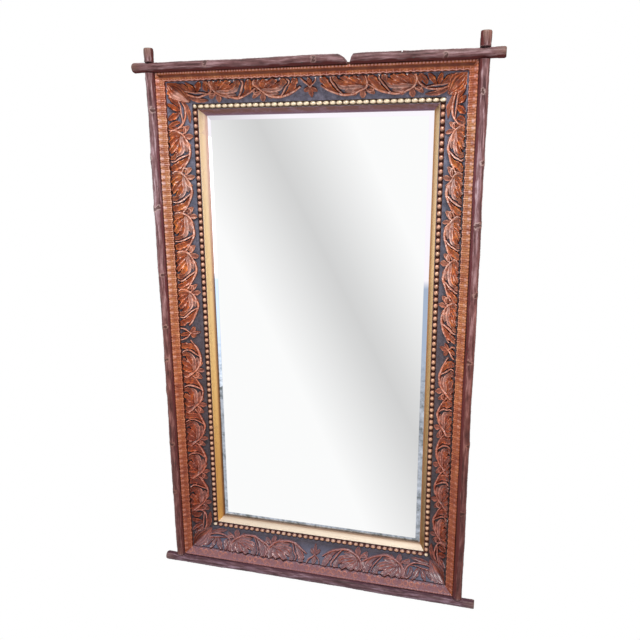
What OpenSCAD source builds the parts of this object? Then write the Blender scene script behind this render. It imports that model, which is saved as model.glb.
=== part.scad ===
// Large wall mirror in a deep scooped frame: bevelled plate, gilt slip, row of beads,
// cove carved with a running vine, leaf-tip moulding, and round twigs lapped over the corners.
// The mirror faces -Y, +Z is up, and the plane Y = 0 is the wall.

/* [Opening] */
// Width of glass that shows inside the gilt slip
sight_w = 600; // [440:10:800]
// Height of glass that shows inside the gilt slip
sight_h = 1180; // [800:10:1500]

/* [Glass] */
// Thickness of the glass plate
glass_t = 5; // [4:0.5:7]
// Width of glass hidden behind the gilt slip on each side
glass_cover = 9; // [6:0.5:10]
// Width of the bevel that shows
bevel_show = 12; // [6:1:25]
// How much thinner the bevel makes the edge of the plate
bevel_drop = 2.4; // [1:0.1:3]

/* [Gilt slip] */
// Width of the sloping gilt slip
slip_w = 14; // [12:0.5:20]
// Height of the slip's outer edge above its inner edge
slip_rise = 17; // [12:0.5:24]
// Thickness of the slip's inner edge
slip_lip = 3; // [2:0.5:5]

/* [Bead row] */
// Diameter of one bead
bead_d = 11.5; // [8:0.5:14]
// Distance from bead to bead
bead_pitch = 16.85; // [12:0.05:22]
// Width of the strip that the beads are turned on
bead_strip_w = 13; // [11:0.5:18]
// Thickness of the strip that the beads are turned on
bead_strip_t = 5; // [3:0.5:7]

/* [Cove moulding] */
// Wood left standing between the slip and the bead row
fillet_w = 1.2; // [0.8:0.1:3]
// Width of the plain band between the beads and the carving
band_w = 9; // [5:0.5:14]
// Rise of the plain band from the bead row to the carving
band_rise = 2.5; // [1:0.5:4]
// Height of the band's inner edge above the top of the slip
band_lift = 4.5; // [2:0.5:6]
// Width of the carved cove
cove_w = 40; // [32:1:60]
// Rise of the carved cove towards the outside of the frame
cove_rise = 37; // [28:1:50]
// Depth of the scoop below a straight line from edge to edge
cove_sag = 6; // [3:0.5:9]
// Width of the flat groove between the cove and the leaf moulding
groove_w = 3.2; // [2:0.1:5]
// Thickness of the cove moulding at its outer edge
cove_edge_t = 19; // [14:1:24]
// How far the foot of the cove moulding runs out under the cove
foot_reach = 19; // [12:1:26]

/* [Leaf moulding] */
// Width of the leaf moulding
leaf_w = 20; // [16:0.5:28]
// Height of the leaf moulding's inner edge above the groove
leaf_lip = 4; // [3:0.5:7]
// Height of the ridge above the groove
ridge_rise = 16; // [11:0.5:20]
// Width of the ridge along the outer edge
ridge_w = 3.4; // [2.5:0.1:5]
// Height of the ridge above the leaves beside it
ridge_step = 1.4; // [1:0.1:2.5]
// Distance from leaf tip to leaf tip
leaf_pitch = 16; // [12:0.5:24]
// Depth of the cut between two leaf tips
leaf_cut = 8; // [4:0.5:11]
// Thickness of the leaves on the moulding
leaf_t = 2.2; // [1.5:0.1:2.8]

/* [Case and backing] */
// Thickness of the boards that form the sides of the case
case_t = 8; // [7:0.5:12]
// Thickness of the flat base rails behind the mouldings
base_t = 14; // [13.5:0.5:22]
// Thickness of the backboards
backboard_t = 6; // [4:0.5:6.5]
// Depth from the wall to the back of the base rails
recess = 9; // [8.5:0.5:16]
// Gap around the glass and the backboards in their rebate
rebate_gap = 2.5; // [1.5:0.5:3.5]
// Side of the square glue blocks in the corners of the case
block_w = 28; // [16:1:30]
// Height of the glue blocks
block_t = 13; // [6:1:14]

/* [Twigs] */
// Radius of a twig
twig_r = 12; // [10:0.5:15]
// Gap between the leaf moulding and the twig
twig_gap = 2; // [1:0.5:4]
// How far the twig ends stand out past the centre of a crossing
twig_over = 46; // [25:1:60]
// Depth of the flat seats in the bottom twig for the upright ones
twig_seat = 2.5; // [1.5:0.5:4]
// Clearance in the lapped crossings
lap_gap = 1.2; // [0.8:0.1:2]
// Where the top twig is broken, as a distance right of the middle
break_at = 103; // [40:1:160]
// Width of the break at its mouth
break_w = 34; // [16:1:40]
// Wood left under the break
break_left = 4; // [3:0.5:8]
// Where the top twig has a small nick, as a distance right of the middle
nick_at = 229; // [180:1:260]
// Depth of the nick
nick_deep = 6; // [3:0.5:8]

/* [Carving] */
// Length of one repeat of the vine
vine_pitch = 110; // [80:1:160]
// Height of the relief above the ground of the cove
relief = 6; // [3:0.5:8]
// Half width of the vine's stem
stem_half = 2.3; // [1.5:0.1:3]
// Length kept for the last leaves before each end of the opening
vine_end = 62; // [50:1:80]
// Widest part of a corner leaf, measured from its fold
corner_half = 15; // [10:0.5:17]

/* [Hangers] */
// Height of the hanger pivots above the middle of the mirror
hanger_z = 330; // [200:10:450]
// Width of a strap
strap_w = 18; // [16:1:24]
// Length of a strap below its pivot
strap_len = 62; // [50:1:80]
// Thickness of a strap
strap_t = 1.8; // [1.2:0.1:2]
// Radius of the wire that a ring is bent from
wire_r = 2; // [1.8:0.05:2.1]
// Radius of the bend of a ring, to the middle of the wire
ring_r = 16; // [14:0.5:20]
// Clearance around a ring's bar in its knuckle
knuckle_gap = 0.08; // [0.04:0.01:0.1]
// Shank radius of a hanger screw
screw_r = 1.8; // [1.5:0.1:2.2]
// Length of a hanger screw
screw_len = 12; // [9:0.5:12.5]

/* [Nails and pins] */
// Shank radius of a twig nail
nail_r = 1.2; // [1:0.1:1.6]
// How deep a slanting twig nail goes into the edge of the case
nail_bite = 10; // [8:0.5:11]
// Radius of a backboard pin
pin_r = 0.8; // [0.6:0.1:1]
// Length of a backboard pin
pin_len = 14; // [10:1:16]
// Distance between backboard pins, at most
pin_step = 200; // [120:10:300]
// Length without pins at each end of the plate
pin_margin = 30; // [20:1:60]

/* [Hidden] */
$fn = 48;

// Sides are numbered clockwise as seen from the front.
TOP = 0;
RIGHT = 1;
BOTTOM = 2;
LEFT = 3;

// Stations across the frame, measured outwards from the edge of the visible glass.
bead_in = slip_w + fillet_w;
bead_out = bead_in + bead_strip_w;
bead_mid = (bead_in + bead_out) / 2;
cove_in = bead_out + band_w;
cove_out = cove_in + cove_w;
leaf_in = cove_out + groove_w;
leaf_out = leaf_in + leaf_w;
ridge_in = leaf_out - ridge_w;
case_out = leaf_out + case_t;
twig_at = leaf_out + twig_gap + twig_r;
rebate_at = glass_cover + rebate_gap;

// Heights above the inner edge of the slip, towards the viewer.
bead_floor = slip_rise - bead_strip_t;
bead_axis = bead_floor + bead_strip_t + bead_d * 0.12;
band_low = slip_rise + band_lift;
cove_low = band_low + band_rise;
cove_high = cove_low + cove_rise;
leaf_low = cove_high + leaf_lip;
ridge_high = cove_high + ridge_rise;
twig_high = leaf_low + twig_r;
case_high = twig_high - twig_r / 2;
base_front = -slip_lip;
base_back = base_front - base_t;
back_plane = base_back - recess;
total_w = sight_w + 2 * case_out;
total_h = sight_h + 2 * case_out;

// The bevelled plate is pushed forwards until its bevel meets the slip.
bevel_w = bevel_show + glass_cover;
glass_front = base_front + bevel_drop * bevel_show / bevel_w - 0.02;
glass_back = glass_front - glass_t;
backboard_back = glass_back - backboard_t;
plate_w = sight_w + 2 * glass_cover;
plate_h = sight_h + 2 * glass_cover;

// The scoop is an arc through both edges of the cove.
cove_chord = norm([cove_w, cove_rise]);
cove_r = cove_chord * cove_chord / (8 * cove_sag) + cove_sag / 2;
cove_half_angle = asin(cove_chord / 2 / cove_r);
cove_along = [cove_w, cove_rise] / cove_chord;
cove_facing = [-cove_rise, cove_w] / cove_chord;
cove_centre = [cove_in, cove_low] + [cove_w, cove_rise] / 2 + cove_facing * (cove_r - cove_sag);
cove_arc = cove_r * cove_half_angle * PI / 90;
cove_steps = 20;

// A point of the scoop: b runs along the arc from the beads outwards, h stands off the wood.
function cove_at(b, h) =
  let (turn = b * 180 / (PI * cove_r) - cove_half_angle)
  cove_centre + (cove_r - h) * (cove_along * sin(turn) - cove_facing * cos(turn));

// Height of the scoop at a distance w outwards from the glass.
function cove_level(w) = cove_centre[1] - sqrt(cove_r * cove_r - pow(w - cove_centre[0], 2));

function side_len(k) = k % 2 == 0 ? sight_w : sight_h;
function side_off(k) = k % 2 == 0 ? sight_h / 2 : sight_w / 2;

// Puts a piece drawn for the top side, with its origin at the edge of the glass, on side k.
module on_side(k) {
  rotate([0, 90 * k, 0])
    translate([0, back_plane, side_off(k)])
      children();
}

// Turns a section drawn as (outwards, towards the viewer) into a bar along the side.
module bar(len) {
  rotate([180, -90, 0])
    linear_extrude(height = len, center = true)
      children();
}

// The room of one side between its two mitres.
module mitre_room(len) {
  reach = 1.1 * case_out;
  deep = 3.4 * twig_high;
  translate([0, deep * 0.24, 0])
    rotate([90, 0, 0])
      linear_extrude(height = deep)
        polygon([[-len / 2, 0], [len / 2, 0],
                 [len / 2 + reach, reach], [-len / 2 - reach, reach]]);
}

// A bar with mitred ends on side k.
module mitred(k) {
  len = side_len(k);
  on_side(k)
    intersection() {
      bar(len + 2.2 * case_out)
        children();
      mitre_room(len);
    }
}

// A closed solid through a list of rings with equally many points, each ring running
// anticlockwise as seen from the last one.
module skin(rings) {
  n = len(rings[0]);
  last = len(rings) - 1;
  polyhedron(
    points = [for (r = rings) for (p = r) p],
    faces = concat(
      [[for (i = [0:n - 1]) i]],
      [for (j = [0:last - 1]) for (i = [0:n - 1])
        [j * n + i, (j + 1) * n + (i + 1) % n, j * n + (i + 1) % n]],
      [for (j = [0:last - 1]) for (i = [0:n - 1])
        [j * n + i, (j + 1) * n + i, (j + 1) * n + (i + 1) % n]],
      [[for (i = [n - 1:-1:0]) last * n + i]]),
    convexity = 6);
}

// Base rails: a flat mitred frame of plain wood that carries everything else.
module base_rail(k) {
  color("burlywood")
    difference() {
      mitred(k)
        polygon([[rebate_at, base_back], [leaf_out, base_back],
                 [leaf_out, base_front], [rebate_at, base_front]]);
      on_side(k)
        for (u = pin_places(side_len(k)))
          pin_shape(u, 0.1);
      hanger_screws_at(k, 0.1);
    }
}

// Sides of the case: upright boards whose back edges touch the wall.
module case_board(k) {
  color("saddlebrown")
    difference() {
      mitred(k)
        polygon([[leaf_out, back_plane], [case_out, back_plane],
                 [case_out, case_high], [leaf_out, case_high]]);
      all_nails(0.1);
    }
}

// Cove mouldings: the foot holds the bead row, the canted part is scooped for the carving.
module cove_moulding(k) {
  color("dimgray")
    mitred(k)
      polygon(concat(
        [[slip_w, base_front], [slip_w, slip_rise], [bead_in, slip_rise],
         [bead_in, bead_floor], [bead_out, bead_floor], [bead_out, band_low]],
        [for (i = [0:cove_steps]) cove_at(cove_arc * i / cove_steps, 0)],
        [[leaf_out, cove_high], [leaf_out, cove_high - cove_edge_t],
         [cove_in + foot_reach, base_front]]));
}

// Leaf moulding: a sloping bar with an outer ridge and a row of pointed leaf tips.
slope_run = ridge_in - leaf_in;
slope_high = ridge_high - ridge_step;
slope_rise = slope_high - leaf_low;
slope_angle = atan(slope_rise / slope_run);
slope_len = norm([slope_run, slope_rise]);

module leaf_row(len) {
  count = ceil(len / leaf_pitch / 2) + 1;
  up = slope_len + ridge_step / 2;
  tips = [for (i = [-count:count - 1]) for (q = [[0, leaf_cut], [0.14, leaf_cut * 0.42],
    [0.34, leaf_cut * 0.1], [0.5, 0], [0.66, leaf_cut * 0.1], [0.86, leaf_cut * 0.42]])
    [(i + q[0]) * leaf_pitch, q[1]]];
  translate([0, -leaf_low, leaf_in])
    rotate([90 + slope_angle, 0, 0])
      translate([0, 0, -leaf_t])
        linear_extrude(height = leaf_t)
          polygon(concat(tips, [[count * leaf_pitch, leaf_cut],
            [count * leaf_pitch, up], [-count * leaf_pitch, up]]));
}

module leaf_moulding(k) {
  len = side_len(k);
  drop = leaf_t * 0.8;
  color("chocolate")
    union() {
      mitred(k)
        polygon([[leaf_in, cove_high], [leaf_in, leaf_low - drop / cos(slope_angle)],
                 [ridge_in, slope_high - drop / cos(slope_angle)], [ridge_in, ridge_high],
                 [leaf_out, ridge_high], [leaf_out, cove_high]]);
      on_side(k)
        intersection() {
          leaf_row(len + 2 * leaf_out);
          mitre_room(len);
        }
    }
}

// Carving: a scrolling vine, mirrored about the middle of each side. A shoot or leaf follows
// stations of [along, across, half width, height]: along is a share of the repeat, across a
// share of the scoop from the beads outwards, half width a multiple of the stem's, and height
// a share of the relief.
vine_stem = [[-0.5, 0.97, 0.9, 0.6], [-0.5, 0.66, 1, 0.8], [-0.42, 0.38, 1.05, 0.85],
  [-0.25, 0.17, 1.1, 0.9], [0, 0.07, 1.15, 0.9], [0.22, 0.12, 1.1, 0.9], [0.38, 0.27, 1, 0.9],
  [0.45, 0.56, 1, 0.9], [0.37, 0.84, 1.2, 0.85], [0.16, 0.95, 0.5, 0.5]];
long_leaf = [[-0.1, 0.15, 0.5, 0.5], [-0.22, 0.42, 2.1, 0.9], [-0.3, 0.7, 1.9, 0.8],
  [-0.35, 0.96, 0.3, 0.4]];
tendril = [[-0.02, 0.3, 0.4, 0.5], [-0.12, 0.62, 0.9, 0.6], [-0.18, 0.96, 0.4, 0.4]];
bead_leaf = [[0.4, 0.3, 0.8, 0.6], [0.45, 0.12, 2.4, 0.8], [0.5, -0.02, 0.3, 0.3]];
bloom = [[0.35, 0.2, 1.4, 0.8], [0.28, 0.33, 4.8, 1], [0.21, 0.42, 3.7, 1.05],
  [0.13, 0.54, 5.6, 1.1], [0.06, 0.64, 3.6, 0.9], [-0.02, 0.76, 1, 0.5]];

// The last shoots before a corner, with along in millimetres from the end of the opening.
end_stem = [[-36, 0.97, 0.9, 0.6], [-34, 0.55, 1, 0.9], [-16, 0.3, 1, 0.9], [14, 0.3, 1.2, 0.9],
  [30, 0.34, 1.2, 0.9]];
end_leaves = [
  [[6, 0.36, 0.5, 0.6], [-2, 0.62, 2, 0.9], [-12, 0.9, 0.3, 0.4]],
  [[12, 0.38, 0.5, 0.6], [16, 0.64, 2, 0.9], [24, 0.9, 0.3, 0.4]],
  [[26, 0.22, 0.6, 0.6], [4, 0.13, 2.2, 0.9], [-20, 0.06, 0.3, 0.4]]];

function vine_point(s, b, h) = let (q = cove_at(b, h)) [s, -q[1], q[0]];

// One ring across a shoot: both edges on the ground, and the ridge or, with a crease, two
// shoulders between them.
function shoot_ring(stations, j, unit, crease) =
  let (last = len(stations) - 1, here = stations[j],
       way = stations[min(j + 1, last)] - stations[max(j - 1, 0)],
       run = [way[0] * unit, way[1] * cove_arc],
       half = [-run[1], run[0]] / norm(run) * here[2] * stem_half,
       s = here[0] * unit, b = here[1] * cove_arc, h = here[3] * relief)
  concat([vine_point(s + half[0], b + half[1], 0.02)],
    crease ? [vine_point(s + half[0] * 0.5, b + half[1] * 0.5, h), vine_point(s, b, h * 0.6),
              vine_point(s - half[0] * 0.5, b - half[1] * 0.5, h)] : [vine_point(s, b, h)],
    [vine_point(s - half[0], b - half[1], 0.02)]);

module shoot(stations, unit, crease = false) {
  skin([for (j = [0:len(stations) - 1]) shoot_ring(stations, j, unit, crease)]);
}

module half_vine(half_len) {
  repeats = round((half_len - vine_end) / vine_pitch);
  pitch = (half_len - vine_end) / repeats;
  for (i = [0:repeats - 1])
    translate([(i + 0.7) * pitch, 0, 0]) {
      shoot(vine_stem, pitch);
      shoot(long_leaf, pitch);
      shoot(tendril, pitch);
      shoot(bead_leaf, pitch);
      shoot(bloom, pitch, true);
    }
  translate([half_len, 0, 0]) {
    shoot(end_stem, 1);
    for (leaf = end_leaves)
      shoot(leaf, 1);
  }
}

module carving(k) {
  color("peru")
    on_side(k)
      union() {
        half_vine(side_len(k) / 2);
        mirror([1, 0, 0])
          half_vine(side_len(k) / 2);
      }
}

// Corner leaves: one plain leaf folded along each mitre, pointing out to the corner.
corner_form = [[0.02, 0.16], [0.2, 0.75], [0.42, 1], [0.64, 0.8], [0.84, 0.4], [0.98, 0.06]];

function corner_ring(place, share) =
  let (w = cove_in + cove_w * place, half = min(corner_half * share, cove_out - w - 0.4,
         w - cove_in + 6), edge = cove_level(w + half), lift = relief * 0.7)
  [[w + half, edge + 0.02, w - half], [w + half, edge + lift * 0.6, w - half],
   [w, cove_level(w) + lift, w], [w - half, edge + lift * 0.6, w + half],
   [w - half, edge + 0.02, w + half], [w, cove_level(w) + 0.02, w]];

module corner_leaf(side_x, side_z) {
  flip = side_x * side_z > 0;
  color("sienna")
    translate([side_x * sight_w / 2, back_plane, side_z * sight_h / 2])
      skin([for (f = corner_form) let (ring = corner_ring(f[0], f[1]), n = len(ring))
        [for (i = [0:n - 1]) let (p = ring[flip ? n - 1 - i : i])
          [side_x * p[0], -p[1], side_z * p[2]]]]);
}

// Bead rows: beads turned on one strip, let into a channel of the cove moulding.
module bead_row(k) {
  len = side_len(k);
  room = len + 2 * bead_mid;
  count = floor(room / bead_pitch);
  color("goldenrod")
    union() {
      mitred(k)
        polygon([[bead_in, bead_floor], [bead_out, bead_floor],
                 [bead_out, slip_rise], [bead_in, slip_rise]]);
      on_side(k)
        for (i = [0:count - 1])
          translate([(i - (count - 1) / 2) * bead_pitch, -bead_axis, bead_mid])
            sphere(d = bead_d);
    }
}

// Gilt slip: a sloping strip over the edge of the glass.
module slip(k) {
  color("gold")
    mitred(k)
      polygon([[0, base_front], [0, 0], [slip_w - 1, slip_rise], [slip_w, slip_rise],
               [slip_w, base_front]]);
}

// Twigs: round shoots with bark, a little crooked, swollen at the knots and at the ends.
twig_sides = 12;
twig_step = 26;
hor_half = sight_w / 2 + twig_at + twig_over;
ver_top = sight_h / 2 + twig_at + twig_over;
ver_foot = sight_h / 2 + twig_at - twig_r + twig_seat;

// Knots as [distance along the twig, direction around it, height].
knots_top = [[-257, 60, 1.3], [-330, 200, 1], [20, 80, 0.9], [330, 110, 1.1]];
knots_right = [[621, 60, 1.4], [473, 20, 1.8], [324, 70, 1.5], [156, 40, 1.6], [-14, 50, 1.7],
  [-238, 30, 1.5], [-430, 60, 1.4]];
knots_bottom = [[-340, 300, 1.2], [-46, 280, 1.6], [158, 290, 1.8], [330, 270, 1.3]];
knots_left = [[616, 120, 1.4], [471, 160, 1.6], [285, 110, 1.5], [20, 130, 1.8], [-67, 150, 1.6],
  [-270, 130, 1.5], [-480, 120, 1.5]];

function bump(u, a, knot) =
  knot[2] * exp(-pow((u - knot[0]) / 13, 2)) * max(0, cos(a - knot[1]));

function total(list, i = 0) = i < len(list) ? list[i] + total(list, i + 1) : 0;

function bark(u, a, half, knots, seed) =
  twig_r * (0.965 + 0.05 * pow(abs(u) / half, 6))
  + 0.22 * sin(u * 2.3 + a * 2 + seed) + 0.16 * sin(u * 5.1 - a * 3 + seed * 2)
  + total([for (k = knots) bump(u, a, k)]);

function sway(u, seed) = 0.7 * sin(u * 0.55 + seed) + 0.4 * sin(u * 1.37 + seed * 3);

function twig_ring(u, shrink, half, knots, seed) =
  [for (i = [0:twig_sides - 1])
    let (a = 360 * i / twig_sides, r = bark(u, a, half, knots, seed) * shrink)
    [u, -r * sin(a), r * cos(a) + sway(u, seed)]];

// A twig along X from low to high.
module twig(low, high, knots, seed) {
  half = max(abs(low), abs(high));
  steps = round((high - low) / twig_step);
  middle = [for (i = [1:steps - 1]) low + (high - low) * i / steps];
  skin(concat(
    [twig_ring(low, 0.84, half, knots, seed), twig_ring(low + 1.8, 1, half, knots, seed)],
    [for (u = middle) twig_ring(u, 1, half, knots, seed)],
    [twig_ring(high - 1.8, 1, half, knots, seed), twig_ring(high, 0.84, half, knots, seed)]));
}

// The room of the case, which gives every twig a rebate that sits on the edge of the boards.
module case_bed() {
  deep = 2 * twig_r;
  translate([-total_w / 2 - 0.5, back_plane - case_high, -total_h / 2 - 0.5])
    cube([total_w + 1, deep, total_h + 1]);
}

// Half of a crossing: front 1 cuts the half towards the viewer, front 0 the one behind.
module lap(side_x, front) {
  w = 2 * (twig_r + lap_gap);
  translate([side_x * (sight_w / 2 + twig_at) - w / 2,
             back_plane - twig_high - front * w, sight_h / 2 + twig_at - w / 2])
    cube([w, w, w]);
}

module horizontal_twig(side_z, knots, seed) {
  translate([0, back_plane - twig_high, side_z * (sight_h / 2 + twig_at)])
    twig(-hor_half, hor_half, knots, seed);
}

module twig_top() {
  notch = sight_h / 2 + twig_at - twig_r + break_left;
  nick = sight_h / 2 + twig_at + twig_r - nick_deep;
  color("rosybrown")
    difference() {
      horizontal_twig(1, knots_top, 40);
      case_bed();
      lap(1, 0);
      lap(-1, 0);
      all_nails(0.15);
      translate([break_at, back_plane - twig_high + 2 * twig_r, notch])
        rotate([90, 0, 0])
          linear_extrude(height = 4 * twig_r)
            polygon([[-break_w * 0.06, 0], [break_w * 0.06, 0], [break_w * 0.35, 2 * twig_r],
                     [break_w * 0.45, 3 * twig_r], [-break_w * 1.3, 3 * twig_r],
                     [-break_w * 0.7, 2 * twig_r - break_left], [-break_w * 0.25, twig_r * 0.8]]);
      translate([nick_at, back_plane - twig_high + 2 * twig_r, nick])
        rotate([90, 0, 0])
          linear_extrude(height = 4 * twig_r)
            polygon([[-0.5, 0], [0.5, 0], [nick_deep * 0.8, 2 * nick_deep],
                     [-nick_deep * 0.5, 2 * nick_deep]]);
    }
}

module twig_bottom() {
  w = 2 * (twig_r + lap_gap);
  color("rosybrown")
    difference() {
      horizontal_twig(-1, knots_bottom, 110);
      case_bed();
      for (side_x = [-1, 1])
        translate([side_x * (sight_w / 2 + twig_at) - w / 2,
                   back_plane - twig_high - w, -ver_foot])
          cube([w, 2 * w, w]);
      all_nails(0.15);
    }
}

module upright_twig(side_x, knots, seed) {
  color("rosybrown")
    difference() {
      translate([side_x * (sight_w / 2 + twig_at), back_plane - twig_high, 0])
        rotate([0, -90, 0])
          twig(-ver_foot, ver_top, knots, seed);
      case_bed();
      lap(side_x, 1);
      all_nails(0.15);
    }
}

// Nails: one straight through each crossing at the top, and a few along every twig that slant
// inwards to the edge of the case.
nail_lean = 17;
nail_head_r = 2.6;
nail_head_t = 1.2;
nail_top = 0.86 * twig_r;

// A nail along +Z with its tip at -tail and the top of its head at reach.
module nail(tail, reach, gap) {
  translate([0, 0, -tail])
    cylinder(r = nail_r + gap, h = tail + reach);
  translate([0, 0, reach - nail_head_t])
    cylinder(r = gap > 0 ? (nail_head_r + gap) / cos(180 / $fn) : nail_head_r,
             h = gap > 0 ? twig_r : nail_head_t);
}

module slanting_nail(k, s, gap) {
  half = nail_bite / 2;
  on_side(k)
    translate([s, half - case_high, leaf_out + case_t / 2])
      rotate([90 - nail_lean, 0, 0])
        nail(half / cos(nail_lean),
             (twig_high + nail_top - case_high + half) / cos(nail_lean), gap);
}

module all_nails(gap) {
  $fn = gap > 0.12 ? 8 : 24;
  corner_x = sight_w / 2 + twig_at;
  corner_z = sight_h / 2 + twig_at;
  for (side_x = [-1, 1])
    translate([side_x * corner_x, back_plane - twig_high, corner_z])
      rotate([90, 0, 0])
        nail(twig_r * 0.7, nail_top, gap);
  for (z = [-0.55, 0.02, 0.58]) {
    slanting_nail(LEFT, z * corner_z, gap);
    slanting_nail(RIGHT, -z * corner_z, gap);
  }
  for (x = [-0.5, 0.06, 0.52])
    slanting_nail(BOTTOM, -x * corner_x, gap);
  for (x = [-0.52, -0.02, 0.62])
    slanting_nail(TOP, x * corner_x, gap);
}

module twig_nails() {
  color("dimgray")
    all_nails(0);
}

// Mirror plate with a bevel on all four edges.
module plate_section(size) {
  translate([0, -glass_front])
    polygon([[-size / 2, glass_t], [-size / 2, bevel_drop], [-size / 2 + bevel_w, 0],
             [size / 2 - bevel_w, 0], [size / 2, bevel_drop], [size / 2, glass_t]]);
}

module glass() {
  color("lightsteelblue")
    translate([0, back_plane, 0])
      intersection() {
        linear_extrude(height = plate_h, center = true)
          plate_section(plate_w);
        rotate([0, 90, 0])
          linear_extrude(height = plate_w, center = true)
            plate_section(plate_h);
      }
}

// Small wooden blocks that centre the plate in its rebate.
module glass_blocks() {
  len = 40;
  color("tan")
    for (k = [TOP, RIGHT, BOTTOM, LEFT])
      on_side(k)
        for (u = [-0.3, 0.3])
          translate([u * side_len(k) - len / 2, -glass_back - glass_t + bevel_drop,
                     glass_cover])
            cube([len, glass_t - bevel_drop, rebate_gap]);
}

// Backboards: three thin boards side by side behind the glass.
board_gap = 0.6;

module backboard(place) {
  h = (plate_h - 2 * board_gap) / 3;
  color("burlywood")
    translate([-plate_w / 2, back_plane - glass_back,
               -plate_h / 2 + place * (h + board_gap)])
      cube([plate_w, backboard_t, h]);
}

// Headless pins driven into the wall of the rebate hold the backboards in.
function pin_places(len) =
  let (room = len + 2 * rebate_at - 2 * pin_margin, count = ceil(room / pin_step))
  [for (i = [0:count - 1]) (i + 0.5 - count / 2) * room / count];

module pin_shape(u, gap) {
  translate([u, -backboard_back + pin_r, rebate_at - pin_len / 2])
    cylinder(r = pin_r + gap, h = pin_len + gap, $fn = 16);
}

module backboard_pins() {
  color("silver")
    for (k = [TOP, RIGHT, BOTTOM, LEFT])
      on_side(k)
        for (u = pin_places(side_len(k)))
          pin_shape(u, 0);
}

// Glue blocks in the corners of the hollow behind the cove.
module corner_blocks() {
  color("tan")
    for (side_x = [-1, 1])
      for (side_z = [-1, 1])
        translate([side_x * (sight_w / 2 + leaf_out - block_w / 2),
                   back_plane - base_front - block_t / 2,
                   side_z * (sight_h / 2 + leaf_out - block_w / 2)])
          cube([block_w, block_t, block_w], center = true);
}

// Hangers: a strap folded into a knuckle, and a ring that swings in it.
hanger_x = sight_w / 2 + (rebate_at + leaf_out) / 2;
knuckle_r = wire_r + knuckle_gap + 1.5;
knuckle_len = strap_w - 4;
ring_y = strap_t + 0.4 + wire_r;
screw_head_r = 3.4;
screw_head_t = 1.6;
screw_drop = [30, 50];
base_y = back_plane - base_back;

module at_hanger(side_x) {
  translate([side_x * hanger_x, base_y, hanger_z])
    children();
}

module strap(side_x) {
  color("darkslategray")
    at_hanger(side_x)
      difference() {
        union() {
          translate([-strap_w / 2, 0, -strap_len])
            cube([strap_w, strap_t, strap_len - knuckle_r]);
          translate([-knuckle_len / 2, 0, -knuckle_r - 1])
            cube([knuckle_len, strap_t, knuckle_r + 1]);
          translate([-knuckle_len / 2, ring_y, 0])
            rotate([0, 90, 0])
              cylinder(r = knuckle_r, h = knuckle_len);
        }
        translate([-strap_w / 2 - 1, ring_y, 0])
          rotate([0, 90, 0])
            cylinder(r = wire_r + knuckle_gap, h = strap_w + 2);
        for (z = screw_drop)
          screw(-z, 0.1);
      }
}

module ring(side_x) {
  color("gray")
    at_hanger(side_x)
      translate([0, ring_y, 0]) {
        translate([-ring_r, 0, 0])
          rotate([0, 90, 0])
            cylinder(r = wire_r, h = 2 * ring_r);
        for (end = [-1, 1])
          translate([end * ring_r, 0, 0])
            sphere(r = wire_r);
        rotate([90, 0, 0])
          rotate([0, 0, 180])
            rotate_extrude(angle = 180)
              translate([ring_r, 0])
                circle(r = wire_r);
      }
}

// A countersunk screw with its head level with the strap.
module screw(z, gap) {
  translate([0, strap_t, z])
    rotate([90, 0, 0]) {
      cylinder(r1 = screw_head_r + gap, r2 = screw_r + gap, h = screw_head_t);
      cylinder(r = screw_r + gap, h = screw_len + gap);
    }
}

module hanger_screws_at(k, gap) {
  if (k == RIGHT || k == LEFT)
    at_hanger(k == RIGHT ? 1 : -1)
      for (z = screw_drop)
        screw(-z, gap);
}

module hanger_screws() {
  color("goldenrod") {
    hanger_screws_at(RIGHT, 0);
    hanger_screws_at(LEFT, 0);
  }
}

base_rail(TOP);  // base_top
base_rail(RIGHT);  // base_right
base_rail(BOTTOM);  // base_bottom
base_rail(LEFT);  // base_left
case_board(TOP);  // case_top
case_board(RIGHT);  // case_right
case_board(BOTTOM);  // case_bottom
case_board(LEFT);  // case_left
cove_moulding(TOP);  // cove_top
cove_moulding(RIGHT);  // cove_right
cove_moulding(BOTTOM);  // cove_bottom
cove_moulding(LEFT);  // cove_left
leaf_moulding(TOP);  // leaf_moulding_top
leaf_moulding(RIGHT);  // leaf_moulding_right
leaf_moulding(BOTTOM);  // leaf_moulding_bottom
leaf_moulding(LEFT);  // leaf_moulding_left
carving(TOP);  // carving_top
carving(RIGHT);  // carving_right
carving(BOTTOM);  // carving_bottom
carving(LEFT);  // carving_left
corner_leaf(1, 1);  // corner_leaf_top_right
corner_leaf(1, -1);  // corner_leaf_bottom_right
corner_leaf(-1, -1);  // corner_leaf_bottom_left
corner_leaf(-1, 1);  // corner_leaf_top_left
bead_row(TOP);  // beads_top
bead_row(RIGHT);  // beads_right
bead_row(BOTTOM);  // beads_bottom
bead_row(LEFT);  // beads_left
slip(TOP);  // slip_top
slip(RIGHT);  // slip_right
slip(BOTTOM);  // slip_bottom
slip(LEFT);  // slip_left
twig_top();
upright_twig(1, knots_right, 200);  // twig_right
twig_bottom();
upright_twig(-1, knots_left, 310);  // twig_left
twig_nails();
glass();
glass_blocks();
backboard(2);  // backboard_top
backboard(1);  // backboard_middle
backboard(0);  // backboard_bottom
backboard_pins();
corner_blocks();
strap(1);  // hanger_strap_right
strap(-1);  // hanger_strap_left
ring(1);  // hanger_ring_right
ring(-1);  // hanger_ring_left
hanger_screws();
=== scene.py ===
# %% [markdown]
# # A carved wall mirror
# The construction of this mirror is already packed as a fixed frame: every board, strip and twig
# has its real size and place. This script gives each the look of the real thing. Boards keep their
# mesh and get a better finish. Carving, leaf tips, beads and bark are modelled anew, because the
# eye reads their small forms, and each new piece stands for a plain one.

# %% Load the construction
import math
from contextlib import contextmanager

import bpy
import numpy as np
from mathutils import Matrix, Vector


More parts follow.
